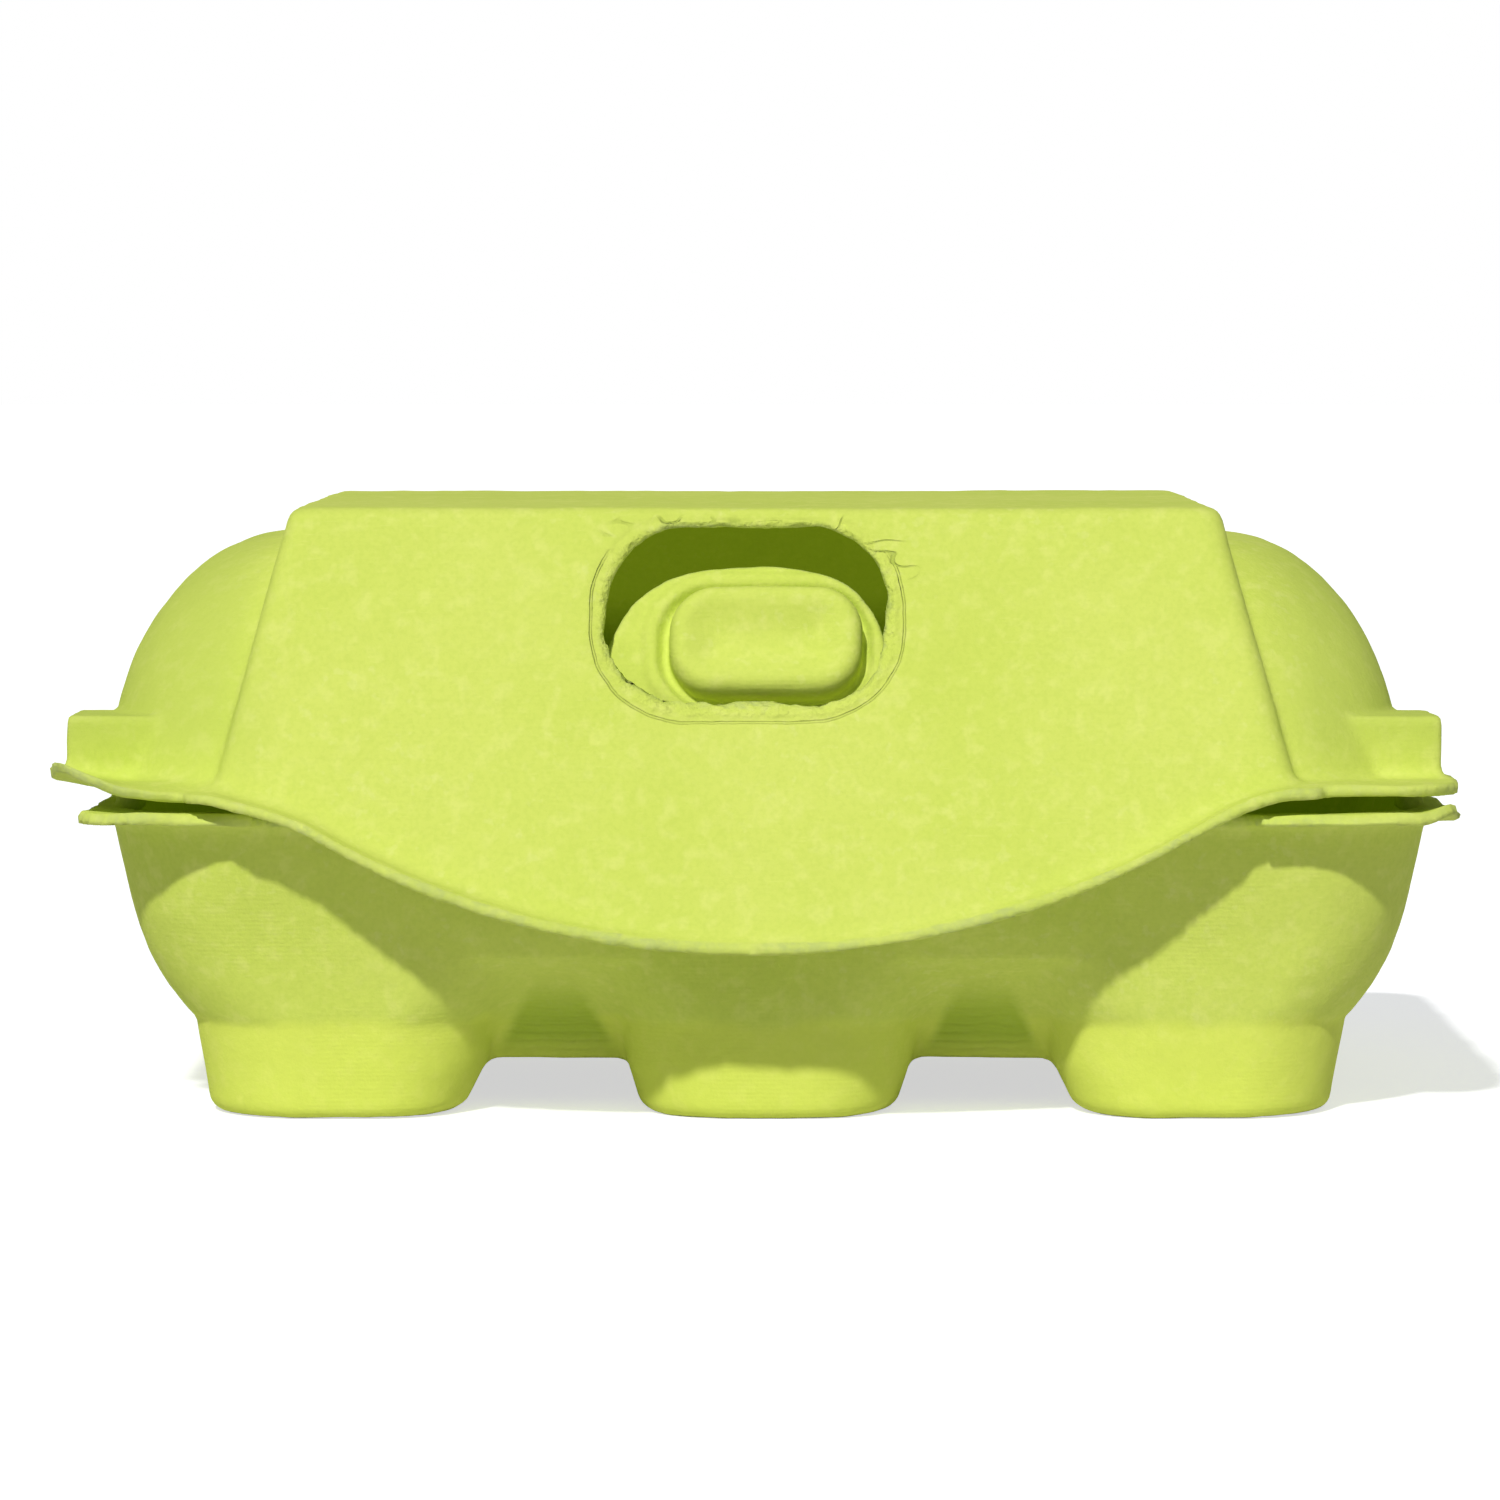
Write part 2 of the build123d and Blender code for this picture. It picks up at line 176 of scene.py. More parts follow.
# each row: height, then how much a cell is drawn in on its neighbour's side, the middle one by
# half of that on both sides
INNER_RISE, INNER_CUT = np.array([(0, 2.2), (1, 1.5), (5.5, 0), (9, 0)]).T * MM
INNER_OVER = mm(-4, 4)
FOOT_EDGE = 2 * MM
CUP_FILLET = 2 * MM
CUP_FILLET_OVER = mm(0.8, 6)
NO_FILLET = 0.01 * MM
BAND_Z = 16.5 * MM
BAND_EDGE = 5 * MM
WEB_Z = 5.3 * MM
WEB_FLAT = 2.5 * MM
WEB_TOP = 17 * MM
WEB_REACH = 10 * MM
WEB_FILLET = 1.2 * MM
SCOOP_RISE = 13 * MM
SCOOP_POWER = 0.85
SCOOP_FILLET = 0.8 * MM
SCOOP_FILLET_OVER = (WEB_Z + 1 * MM, WEB_Z + 8 * MM)
POST_BASE = 9.4 * MM
POST_TOP = 5.2 * MM
POST_ROUND = 3 * MM
STUB_IN = 0.8 * MM
STUB_NARROWER = 0.3 * MM
STUB_EDGE = 1 * MM
STUB_ROOT = 0.5 * MM
STUB_FILLET = 0.8 * MM

TRAY_LIP = 1.3 * MM
TRAY_ROUGH_OVER = mm(40, 55)
TRAY_PLY = 0.3 * MM
TRAY_PLY_FROM = 0.35
TRAY_PLY_FULL = 0.5
APRON_CLEAR = 0.3 * MM
FLANGE_REACH = 6 * MM
FLANGE_OVER = (APRON_HALF - 2.1 * MM, APRON_HALF + 1.6 * MM)

# ------------------------------------------------------------------ sizes of the lock flap
FLAP_LEAN = radians(26)
FLAP_FOOT_UP = 0.7 * MM
FLAP_FOOT = 0.8 * MM
FLAP_SIDE = 20 * MM
FLAP_TAPER = 0.295
FLAP_TOP = 27.6 * MM
FLAP_ARC = 52 * MM
FLAP_CROWN = -0.7 * MM
FLAP_CORNER = 7 * MM
FLAP_ACROSS = -2.5 * MM
FLAP_ACROSS_OVER = mm(4, 18)
FLAP_BACK = 0.9 * MM
FLAP_BACK_OVER = mm(3, 9)
FLAP_ROUGH = 0.2 * MM
FLAP_ROUND = 0.6 * MM
KNOB_ACROSS = -0.5 * MM
KNOB_HALF = mm(10.2, 5.8)
KNOB_CORNER = 4.8 * MM
KNOB_UP = 18.1 * MM
KNOB_LOW = 3.1 * MM
KNOB_SLOPE = 0.12
KNOB_EDGE = 2.2 * MM
KNOB_FILLET = 0.4 * MM
KNOB_DISH = 1.5 * MM
KNOB_DISH_OVER = mm(-0.8, -5.6)
COLLAR = 0.6 * MM
COLLAR_OVER = mm(3.4, 2.2)
COLLAR_UP_OVER = mm(10, 14)
GROOVE = 1.2 * MM
GROOVE_OVER = mm(1.7, 0.5)

# ------------------------------------------------------------------ how the sheets are bent
WAVE_OVER = mm(0, 3)
WAVE_BESIDE_OVER = (APRON_HALF, APRON_HALF + 6 * MM)
LID_WAVE = 0.35 * MM
LID_WAVE_SIZE = 7 * MM
LID_CURL_UP = 4.4 * MM
LID_CURL_OUT = 1.2 * MM
LID_CURL_OVER = mm(66, 77)
LID_CURL_WIDE = 0.3
LID_CURL_WIDE_OVER = mm(20, 44)
LID_CURL_NARROW_OVER = mm(39.5, 48)
LID_CURL_UP_OVER = (LID_Z + 4 * MM, LID_Z + 9 * MM)
LID_SAG = 0.9 * MM
LID_SAG_LEFT_OVER = mm(70, 58)
LID_SAG_RIGHT_OVER = mm(45, 55)
LID_SAG_NEAR_OVER = mm(42, 47)
TRAY_WAVE = 0.3 * MM
TRAY_WAVE_SIZE = 6 * MM
TRAY_CURL_UP = 1.8 * MM
TRAY_CURL_OUT = 0.9 * MM
TRAY_CURL_OVER = mm(68, 74)
TRAY_CURL_NEAR_OVER = mm(38.5, 47)
TRAY_CURL_UP_OVER = (TRAY_Z - 5 * MM, TRAY_Z - 2 * MM)

# ------------------------------------------------------------------ how fine the meshes are
GRID_LID = 0.62 * MM
GRID_TRAY = 0.66 * MM
GRID_FLAP = 0.34 * MM
SHEET_TRIANGLES = 195000
FLAP_TRIANGLES = 90000
BLOCK = 4                   # grid points to a side that are skipped together away from a surface
NEAR_BLOCKS = 1.6           # how many blocks away from the surface that starts
BLOCKS_AT_ONCE = 2000
MARGIN_STEPS = 1.5
SETTLE_ROUNDS = 2
SETTLE_STEPS = 0.6
SETTLE_REACH = 0.05 * MM
LEAST_SLOPE = 0.05
ROUGHEN_REACH = 0.1 * MM


# ------------------------------------------------------------------ distance fields
def soft_max(a, b, size):
    """The larger of two distances, with the corner between them rounded over that size."""
    near = np.maximum(size - np.abs(a - b), 0) / size
    return np.maximum(a, b) + near * near * size / 4


def soft_min(a, b, size):
    """The smaller of two distances, with a fillet of that size."""
    return -soft_max(-a, -b, size)


def ramp(value, start, end):
    """0 before start, 1 after end, smooth between."""
    t = np.clip((value - start) / (end - start), 0, 1)
    return t * t * (3 - 2 * t)


def rounded_plan(x, y, half_x, half_y, corner):
    """Distance to a rounded rectangle about the middle."""
    out_x = np.abs(x) - half_x + corner
    out_y = np.abs(y) - half_y + corner
    past = np.hypot(np.maximum(out_x, 0), np.maximum(out_y, 0))
    return past + np.minimum(np.maximum(out_x, out_y), 0) - corner


def lattice(cells, seed):
    """One fixed number between -1 and 1 for each whole-number cell."""
    c = cells.astype(np.int64)
    n = c[..., 0] * 73856093 ^ c[..., 1] * 19349663 ^ c[..., 2] * 83492791 ^ seed * 2654435
    n = (n ^ (n >> 13)) * 1274126177
    n = n ^ (n >> 16)
    return (n & 0xFFFF) / 32767.5 - 1


def noise(points, size, seed):
    """Smooth noise between -1 and 1 whose features are about that size."""
    q = points / size
    cell = np.floor(q)
    t = q - cell
    t = t * t * (3 - 2 * t)
    total = 0
    for corner in itertools.product((0, 1), repeat=3):
        weight = np.prod(np.where(corner, t, 1 - t), axis=-1)
        total = total + weight * lattice(cell + corner, seed)
    return total


def layered(points, layers, seed):
    """Noises added up. Each layer is the size of its features and its height."""
    return sum(height * noise(points, size, seed + k) for k, (size, height) in enumerate(layers))


def torn(points, seed):
    """Ragged offset of a torn or deckled pulp edge, between about -1 and 1."""
    return layered(points, DECKLE_LAYERS, seed)


# ------------------------------------------------------------------ what every sheet shares
def in_front(p):
    """1 on the carton's front face, 0 over its middle and rear."""
    return ramp(-p[:, 1], *FRONT_OVER)


def flange_wall(z, start, end):
    """The pulp's thickness: the wall's before start, thinned to the flange's after end."""
    return PULP + (FLANGE - PULP) * ramp(z, start, end)


def under_mould(mould, wall):
    """Distance to the layer of that thickness under a mould surface."""
    return np.abs(mould + wall / 2) - wall / 2


def cut_mark(clip):
    """1 where a sheet ends in a cut or torn edge, for the material."""
    return ramp(clip, *CUT_OVER)


def under_mark(mould, wall):
    """1 on a sheet's far side, away from the mould surface, for the material."""
    return ramp(-mould, UNDER_FROM * wall, UNDER_FULL * wall)


# ------------------------------------------------------------------ lid
def saddle_field(p):
    """The flat-topped middle of the lid, which runs down past the apron's edge."""
    x, y, z = p[:, 0], p[:, 1], p[:, 2]
    drop = TOP_Z - z
    front_top = saddle_high.y - (TOP_Z - LID_Z) * tan(FRONT_LEAN)
    lean = atan((SADDLE_SIDE_X - SADDLE_TOP_X) / (TOP_Z - LID_Z))
    side = (np.abs(x) - SADDLE_TOP_X - drop * tan(lean)) * cos(lean)
    face = (np.abs(y) - front_top - drop * tan(FRONT_LEAN)) * cos(FRONT_LEAN)
    return soft_max(soft_max(side, face, SADDLE_CORNER), -drop, SADDLE_EDGE)


def dome_field(p):
    """The rounded body that closes the lid's two ends."""
    z = np.maximum(p[:, 2] - LID_Z, 0)
    rise = DOME_TOP - LID_Z
    level = np.clip(z / rise, 0, DOME_CROWN)
    inset = 1 - np.sqrt(1 - level**2)
    half_x = DOME_X - DOME_ROUND_X * inset
    half_y = DOME_Y - z * tan(DOME_LEAN) - DOME_ROUND_Y * inset
    steep = np.hypot(1, DOME_ROUND_X / rise * level / (1 - inset))
    corner = DOME_CORNER - DOME_TIGHTER * inset
    wall = rounded_plan(p[:, 0], p[:, 1], half_x, half_y, corner) / steep
    return soft_max(wall, z - rise, DOME_EDGE)


def ear_field(p):
    """The two ears at the lid's ends, over the tray's stubs."""
    middle = (ear_low + ear_high) / 2
    half = (ear_high - ear_low) / 2
    depth = half.x + EAR_IN
    dx = np.abs(np.abs(p[:, 0]) - ear_high.x + depth) - depth
    dy = np.abs(p[:, 1] - middle.y) - half.y
    dz = p[:, 2] - ear_high.z
    return soft_max(soft_max(dx, dy, EAR_EDGE), dz, EAR_EDGE)


def body_field(p):
    """The lid's saddle, domes and ears together, without its rim."""
    body = soft_min(saddle_field(p), dome_field(p), BODY_FILLET)
    return soft_min(body, ear_field(p), EAR_FILLET)


def rim_level(p):
    """Height of the rim's upper side: flat, and curved down in an arc along the apron."""
    drop = LID_Z - APRON_Z
    radius = (APRON_HALF**2 + drop**2) / (2 * drop)
    arc = APRON_Z + radius - np.sqrt(np.maximum(radius**2 - p[:, 0] ** 2, 1e-8))
    steep = 1 / np.sqrt(np.maximum(1 - (p[:, 0] / radius) ** 2, 0.2))
    curved = soft_min(arc + FLANGE * steep, LID_Z + FLANGE, APRON_TURN)
    flat = np.full_like(curved, LID_Z + FLANGE)
    return flat + (curved - flat) * in_front(p)


def window_field(p):
    """Distance from the window's outline in the lid's front face, and from its torn edge."""
    down = (TOP_Z - p[:, 2]) / cos(FRONT_LEAN)
    x = p[:, 0] - WINDOW_ACROSS
    edge = rounded_plan(x, down - WINDOW_DOWN, *WINDOW_HALF, WINDOW_CORNER)
    behind = (p[:, 1] + WINDOW_BACK).clip(0)
    wild = WINDOW_TEAR + WINDOW_TEAR_LOW * ramp(down, *WINDOW_TEAR_OVER)
    return edge, edge + wild * torn(p * WINDOW_TEAR_FINER, seed=31) + behind


def lid_mould(p):
    """The lid's outer surface, with a pressed ring round the window and a rubbed edge on it."""
    edge, _ = window_field(p)
    ring = RING_DEEP * ramp(edge, WINDOW_RING, WINDOW_RING - RING_SIDE)
    body = body_field(p) + (ring + WORN_DEEP * ramp(edge, *WORN_OVER)) * in_front(p)
    return soft_min(body, p[:, 2] - rim_level(p), FLANGE_FILLET)


def lip_reach(x):
    """How far the lid's front lip stands out from the wall above it, along the carton."""
    more = LIP_LEFT * ramp(-x, *LIP_LEFT_OVER) + LIP_RIGHT * ramp(x, *LIP_RIGHT_OVER)
    return LIP_OUT + more * ramp(np.abs(x), *LIP_ENDS_OVER)


def lid_sheet(p):
    """The lid's pulp: one wall under the mould surface, cut along the rim and the window."""
    mould = lid_mould(p)
    level = rim_level(p)
    wall = flange_wall(p[:, 2], level + FLANGE_FROM, level - FLANGE_PAST)
    middle_y = (rim_low.y + REAR_Y) / 2
    half_y = (REAR_Y - rim_low.y) / 2
    plan = rounded_plan(p[:, 0], p[:, 1] - middle_y, rim_high.x, half_y, RIM_CORNER)
    lip = np.minimum(saddle_field(p), dome_field(p)) - lip_reach(p[:, 0])
    rough = DECKLE * (1 + LID_ROUGHER * ramp(-p[:, 0], *LID_ROUGH_OVER))
    ply = LID_PLY * ramp(-mould, LID_PLY_FROM * wall, LID_PLY_FULL * wall)
    ragged = rough * (1 + torn(p, seed=11)) + ply * (1 + torn(p, seed=14))
    clip = np.minimum(plan, lip) + ragged
    _, window = window_field(p)
    sheet = soft_max(under_mould(mould, wall), clip, EDGE_ROUND)
    sheet = soft_max(sheet, -window, WINDOW_ROUND)
    return sheet, cut_mark(np.maximum(clip, -window)), under_mark(mould, wall)


# ------------------------------------------------------------------ tray
def cup_field(p):
    """The six cells from outside: separate below the band, one wall round all of them above it."""
    z = np.maximum(p[:, 2], 0)
    half_x, half_y = np.interp(z, CELL_RISE, CELL_OUT), np.interp(z, CELL_RISE, CELL_DEEP)
    steep = np.hypot(1, np.gradient(CELL_OUT, CELL_RISE))
    steep = np.interp(z, CELL_RISE, steep)
    x = p[:, 0] - PITCH_X * np.clip(np.round(p[:, 0] / PITCH_X), -1, 1)
    y = np.abs(p[:, 1]) - ROW_Y
    outward = ramp(x * np.sign(p[:, 0]) * (np.abs(p[:, 0]) > PITCH_X / 2), *INNER_OVER)
    cut = np.interp(z, INNER_RISE, INNER_CUT) * (1 - outward)
    corner = half_y - np.interp(z, CORE_RISE, CORE)
    cell = rounded_plan(x, y, half_x - cut, half_y, corner - cut) / steep
    cell = soft_max(cell, -p[:, 2], FOOT_EDGE)
    wall = rounded_plan(p[:, 0], p[:, 1], half_x + PITCH_X, half_y + ROW_Y, corner) / steep
    band = soft_max(wall, BAND_Z - p[:, 2], BAND_EDGE)
    return soft_min(cell, band, NO_FILLET + CUP_FILLET * ramp(-wall, *CUP_FILLET_OVER))


def web_field(p):
    """The troughs under neighbouring cells."""
    steep = 1 / hypot(1, SCOOP_RISE / (WEB_TOP - WEB_FLAT))

    def trough(across, beside):
        across = np.abs(across)
        turn = np.clip((across - WEB_FLAT) / (WEB_TOP - WEB_FLAT), 0, 1)
        floor = WEB_Z + SCOOP_RISE * turn**SCOOP_POWER
        ends = np.maximum(np.abs(beside) - WEB_REACH, across - WEB_TOP)
        return np.maximum((floor - p[:, 2]) * steep, ends)

    rows = trough(np.abs(p[:, 1]) - ROW_Y, np.abs(p[:, 0]) - PITCH_X / 2)
    column = p[:, 0] - PITCH_X * np.clip(np.round(p[:, 0] / PITCH_X), -1, 1)
    return np.minimum(rows, trough(column, p[:, 1]))


def post_void(p):
    """The hollows in the two centre posts, open underneath."""
    radius = np.hypot(np.abs(p[:, 0]) - PITCH_X / 2, p[:, 1])
    taper = (POST_BASE - POST_TOP) / (post_high.z - BAND_Z)
    wall = radius - (POST_BASE - PULP - (p[:, 2] - BAND_Z) * taper)
    return soft_max(wall, p[:, 2] - post_high.z + PULP, POST_ROUND)


def stub_field(p):
    """The two locating stubs on the tray's rim, inside the lid's ears."""
    middle = (stub_low + stub_high) / 2
    half = (stub_high - stub_low) / 2
    dx = np.abs(np.abs(p[:, 0]) - middle.x + STUB_IN) - half.x + STUB_NARROWER
    dy = np.abs(p[:, 1] - middle.y) - half.y
    stub = soft_max(soft_max(dx, dy, STUB_EDGE), p[:, 2] - stub_high.z, STUB_EDGE)
    return np.maximum(stub, TRAY_Z - STUB_ROOT - p[:, 2])


def tray_mould(p):
    """The tray's outer surface, which is its underside."""
    fillet = WEB_FILLET + SCOOP_FILLET * ramp(p[:, 2], *SCOOP_FILLET_OVER)
    body = soft_min(cup_field(p), web_field(p), fillet)
    body = soft_max(body, -post_void(p), POST_ROUND)
    return soft_min(body, TRAY_Z - FLANGE - p[:, 2], FLANGE_FILLET)


def tray_sheet(p):
    """The tray's pulp: one wall inside the mould surface, cut along the rim and behind the apron."""
    mould = tray_mould(p)
    wall = flange_wall(p[:, 2], TRAY_Z - PULP - FLANGE_FROM, TRAY_Z - FLANGE + FLANGE_PAST)
    front_y = tray_rim_low.y - TRAY_LIP
    middle_y = (front_y + REAR_Y) / 2
    half_y = (REAR_Y - front_y) / 2
    plan = rounded_plan(p[:, 0], p[:, 1] - middle_y, tray_rim_high.x, half_y, RIM_CORNER)
    rough = DECKLE * (1 + ramp(-p[:, 0], *TRAY_ROUGH_OVER))
    ply = TRAY_PLY * ramp(-mould, TRAY_PLY_FROM * wall, TRAY_PLY_FULL * wall)
    clip = plan + rough * (1 + torn(p, seed=21)) + ply * (1 + torn(p, seed=24))
    past_apron = ramp(np.abs(p[:, 0] - LID_SHIFT), *FLANGE_OVER)
    front = WALL_Y + APRON_CLEAR + FLANGE_REACH * past_apron
    clip = np.maximum(clip, -p[:, 1] - front)
    sheet = soft_max(under_mould(mould, wall), clip, EDGE_ROUND)
    return soft_min(sheet, stub_field(p), STUB_FILLET), cut_mark(clip), under_mark(mould, wall)


# ------------------------------------------------------------------ lock flap
def flap_place(p):
    """Along, up and out from the middle of the flap's foot, in the flap's own plane."""
    y = p[:, 1] + WALL_Y - PULP / 2
    z = p[:, 2] - crease_low.z - FLAP_FOOT_UP
    up = y * sin(FLAP_LEAN) + z * cos(FLAP_LEAN)
    out = z * sin(FLAP_LEAN) - y * cos(FLAP_LEAN)
    return p[:, 0], up, out


def flap_mould(x, up, out):
    """The lock flap's outer side: a hollow knob, a groove and a raised collar round it."""
    knob = rounded_plan(x - KNOB_ACROSS, up - KNOB_UP, *KNOB_HALF, KNOB_CORNER)
    lift = KNOB_LOW + (up - KNOB_UP + KNOB_HALF[1]) * KNOB_SLOPE
    face = out - lift + KNOB_DISH * ramp(knob, *KNOB_DISH_OVER)
    collar = COLLAR * ramp(knob, *COLLAR_OVER) * ramp(up, *COLLAR_UP_OVER)
    groove = GROOVE * ramp(knob, *GROOVE_OVER)
    back = FLAP_BACK * ramp(up, *FLAP_BACK_OVER)
    panel = out - PULP / 2 - (collar - groove - back)
    return soft_min(panel, soft_max(knob, face, KNOB_EDGE), KNOB_FILLET)


def flap_sheet(p):
    """The lock flap's pulp: one wall under its mould surface, cut along a round-topped outline."""
    x, up, out = flap_place(p)
    mould = flap_mould(x, up, out)
    middle = FLAP_ACROSS * ramp(up, *FLAP_ACROSS_OVER)
    side = np.abs(x - middle) - FLAP_SIDE + (up - FLAP_FOOT) * FLAP_TAPER
    top = np.hypot(x - FLAP_CROWN, up - FLAP_TOP + FLAP_ARC) - FLAP_ARC
    clip = soft_max(side, top, FLAP_CORNER) + FLAP_ROUGH * torn(p, seed=41)
    sheet = soft_max(under_mould(mould, PULP), np.maximum(clip, FLAP_FOOT - up), FLAP_ROUND)
    return sheet, cut_mark(clip), under_mark(mould, PULP)


# ------------------------------------------------------------------ meshes
CORNERS = np.array(list(itertools.product((0, 1), repeat=3)))
EDGES = [
    (a, b)
    for a, b in itertools.combinations(range(8), 2)
    if np.abs(CORNERS[a] - CORNERS[b]).sum() == 1
]


def sample(field, low, high, step):
    """The field on a grid, and the grid's first corner.

    Away from the surface, the points of a block share the value at its middle.
    """
    axes = [
        np.arange(low[i] - MARGIN_STEPS * step, high[i] + (BLOCK + 2) * step, step)
        for i in range(3)
    ]
    axes = [a[: len(a) // BLOCK * BLOCK] for a in axes]
    shape = tuple(len(a) for a in axes)
    blocks = tuple(n // BLOCK for n in shape)
    middles = [a.reshape(-1, BLOCK).mean(1) for a in axes]
    centre = np.stack(np.meshgrid(*middles, indexing="ij"), -1).reshape(-1, 3)
    level = field(centre)
    values = np.repeat(level, BLOCK**3).reshape(-1, BLOCK, BLOCK, BLOCK)
    near = np.flatnonzero(np.abs(level) < NEAR_BLOCKS * BLOCK * step)
    offsets = (np.indices((BLOCK,) * 3).reshape(3, -1).T - (BLOCK - 1) / 2) * step
    for part in np.array_split(near, max(1, len(near) // BLOCKS_AT_ONCE)):
        points = (centre[part][:, None] + offsets).reshape(-1, 3)
        values[part] = field(points).reshape(-1, BLOCK, BLOCK, BLOCK)
    values = values.reshape(*blocks, BLOCK, BLOCK, BLOCK)
    values = values.transpose(0, 3, 1, 4, 2, 5).reshape(shape)
    return values, np.array([a[0] for a in axes])


def crossing_means(values, cells):
    """For each cell, the mean of the places where the surface crosses its edges, in grid steps."""
    corner_values = np.stack([values[tuple((cells + c).T)] for c in CORNERS], 1)
    total = np.zeros((len(cells), 3))
    crossings = np.zeros(len(cells))
    for a, b in EDGES:
        va, vb = corner_values[:, a], corner_values[:, b]
        crossed = (va < 0) != (vb < 0)
        t = np.where(crossed, va / np.where(crossed, va - vb, 1), 0)
        place = CORNERS[a] + t[:, None] * (CORNERS[b] - CORNERS[a])
        total += place * crossed[:, None]
        crossings += crossed
    return cells + total / crossings[:, None]


def crossing_quads(inside, index, axis):
    """A quad of four cells round each grid edge along that axis that the surface crosses."""
    u, v = (axis + 1) % 3, (axis + 2) % 3
    near = [slice(0, n) for n in inside.shape]
    far = [slice(0, n) for n in inside.shape]
    near[axis], far[axis] = slice(0, -1), slice(1, None)
    first, last = inside[tuple(near)], inside[tuple(far)]
    at = np.argwhere(first != last)
    size = index.shape
    ok = (at[:, u] > 0) & (at[:, v] > 0) & (at[:, u] < size[u]) & (at[:, v] < size[v])
    at = at[ok]
    rising = first[tuple(at.T)]
    ring = []
    for du, dv in ((-1, -1), (0, -1), (0, 0), (-1, 0)):
        cell = at.copy()
        cell[:, u] += du
        cell[:, v] += dv
        ring.append(index[tuple(cell.T)])
    ring = np.stack(ring, 1)
    ring[~rising] = ring[~rising][:, ::-1]
    return ring


def net(field, low, high, step):
    """Vertices and quads over the surface where the field is zero, by surface nets."""
    values, origin = sample(field, low, high, step)
    inside = values < 0
    size = np.array(inside.shape) - 1
    count = sum(
        inside[a : size[0] + a, b : size[1] + b, c : size[2] + c].astype(np.int8)
        for a, b, c in CORNERS
    )
    cells = np.argwhere((count > 0) & (count < 8))
    index = np.full(tuple(size), -1, np.int64)
    index[tuple(cells.T)] = np.arange(len(cells))
    points = origin + crossing_means(values, cells) * step
    return points, np.concatenate([crossing_quads(inside, index, axis) for axis in range(3)])


def gradient(field, points, reach):
    """Slope of a field at each point."""
    parts = []
    for axis in range(3):
        offset = np.zeros(3)
        offset[axis] = reach
        parts.append((field(points + offset) - field(points - offset)) / (2 * reach))
    return np.stack(parts, 1)


def settle(field, points, step):
    """Points moved onto the surface where the field is zero."""
    for _ in range(SETTLE_ROUNDS):
        value = field(points)
        slope = gradient(field, points, SETTLE_REACH)
        move = -slope * (value / np.maximum((slope**2).sum(1), LEAST_SLOPE))[:, None]
        length = np.linalg.norm(move, axis=1)[:, None]
        points = points + move * np.minimum(1, SETTLE_STEPS * step / np.maximum(length, 1e-12))
    return points


def roughen(field, points, seed):
    """The slow unevenness of dried pulp: small shifts along the surface's own slope."""
    slope = gradient(field, points, ROUGHEN_REACH)
    slope /= np.maximum(np.linalg.norm(slope, axis=1)[:, None], 1e-9)
    return points + slope * layered(points, UNEVEN_LAYERS, seed)[:, None]


def mesh_object(name, points, faces, triangles=None, **marks):
    """A smooth-shaded object from vertices and quads, thinned to that many triangles.

    Each mark is a number for every vertex that the material can read by its name.
    """
    mesh = bpy.data.meshes.new(name)
    mesh.vertices.add(len(points))
    mesh.vertices.foreach_set("co", points.astype(np.float32).ravel())
    mesh.loops.add(faces.size)
    mesh.loops.foreach_set("vertex_index", faces.astype(np.int32).ravel())
    mesh.polygons.add(len(faces))
    starts = np.arange(len(faces), dtype=np.int32) * faces.shape[1]
    mesh.polygons.foreach_set("loop_start", starts)
    mesh.update(calc_edges=True)
    for mark, values in marks.items():
        attribute = mesh.attributes.new(mark, "FLOAT", "POINT")
        attribute.data.foreach_set("value", values.astype(np.float32))
    mesh.validate()
    made = bpy.data.objects.new(name, mesh)
    bpy.context.collection.objects.link(made)
    if triangles and 2 * len(faces) > triangles:
        thin = made.modifiers.new("thin", "DECIMATE")
        thin.ratio = triangles / (2 * len(faces))
        depsgraph = bpy.context.evaluated_depsgraph_get()
        made.data = bpy.data.meshes.new_from_object(made.evaluated_get(depsgraph))
        made.modifiers.clear()
        bpy.data.meshes.remove(mesh)
        made.data.name = name
    made.data.polygons.foreach_set("use_smooth", [True] * len(made.data.polygons))
    return made


def pulp_sheet(name, sheet, low, high, step, triangles, seed, bend=None):
    """One moulded sheet: net, settle, mark, roughen, bend and thin.

    The sheet function gives the distance to the pulp, and the marks for cut edges and far sides.
    """

    def field(p):
        return sheet(p)[0]

    points, faces = net(field, low, high, step)
    points = settle(field, points, step)
    _, cut, under = sheet(points)
    points = roughen(field, points, seed)
    if bend:
        points = bend(points)
    return mesh_object(name, points, faces, triangles, cut=cut, under=under)


def wave_rim(p, wall_x, height, size, seed):
    """Waves a rim's flange up and down in place, except along the apron."""
    x, y = np.abs(p[:, 0]), np.abs(p[:, 1])
    flange = ramp(np.maximum(x - wall_x, y - WALL_Y), *WAVE_OVER) * ramp(x, *WAVE_BESIDE_OVER)
    p[:, 2] += height * flange * noise(p * [1, 1, 0], size, seed)


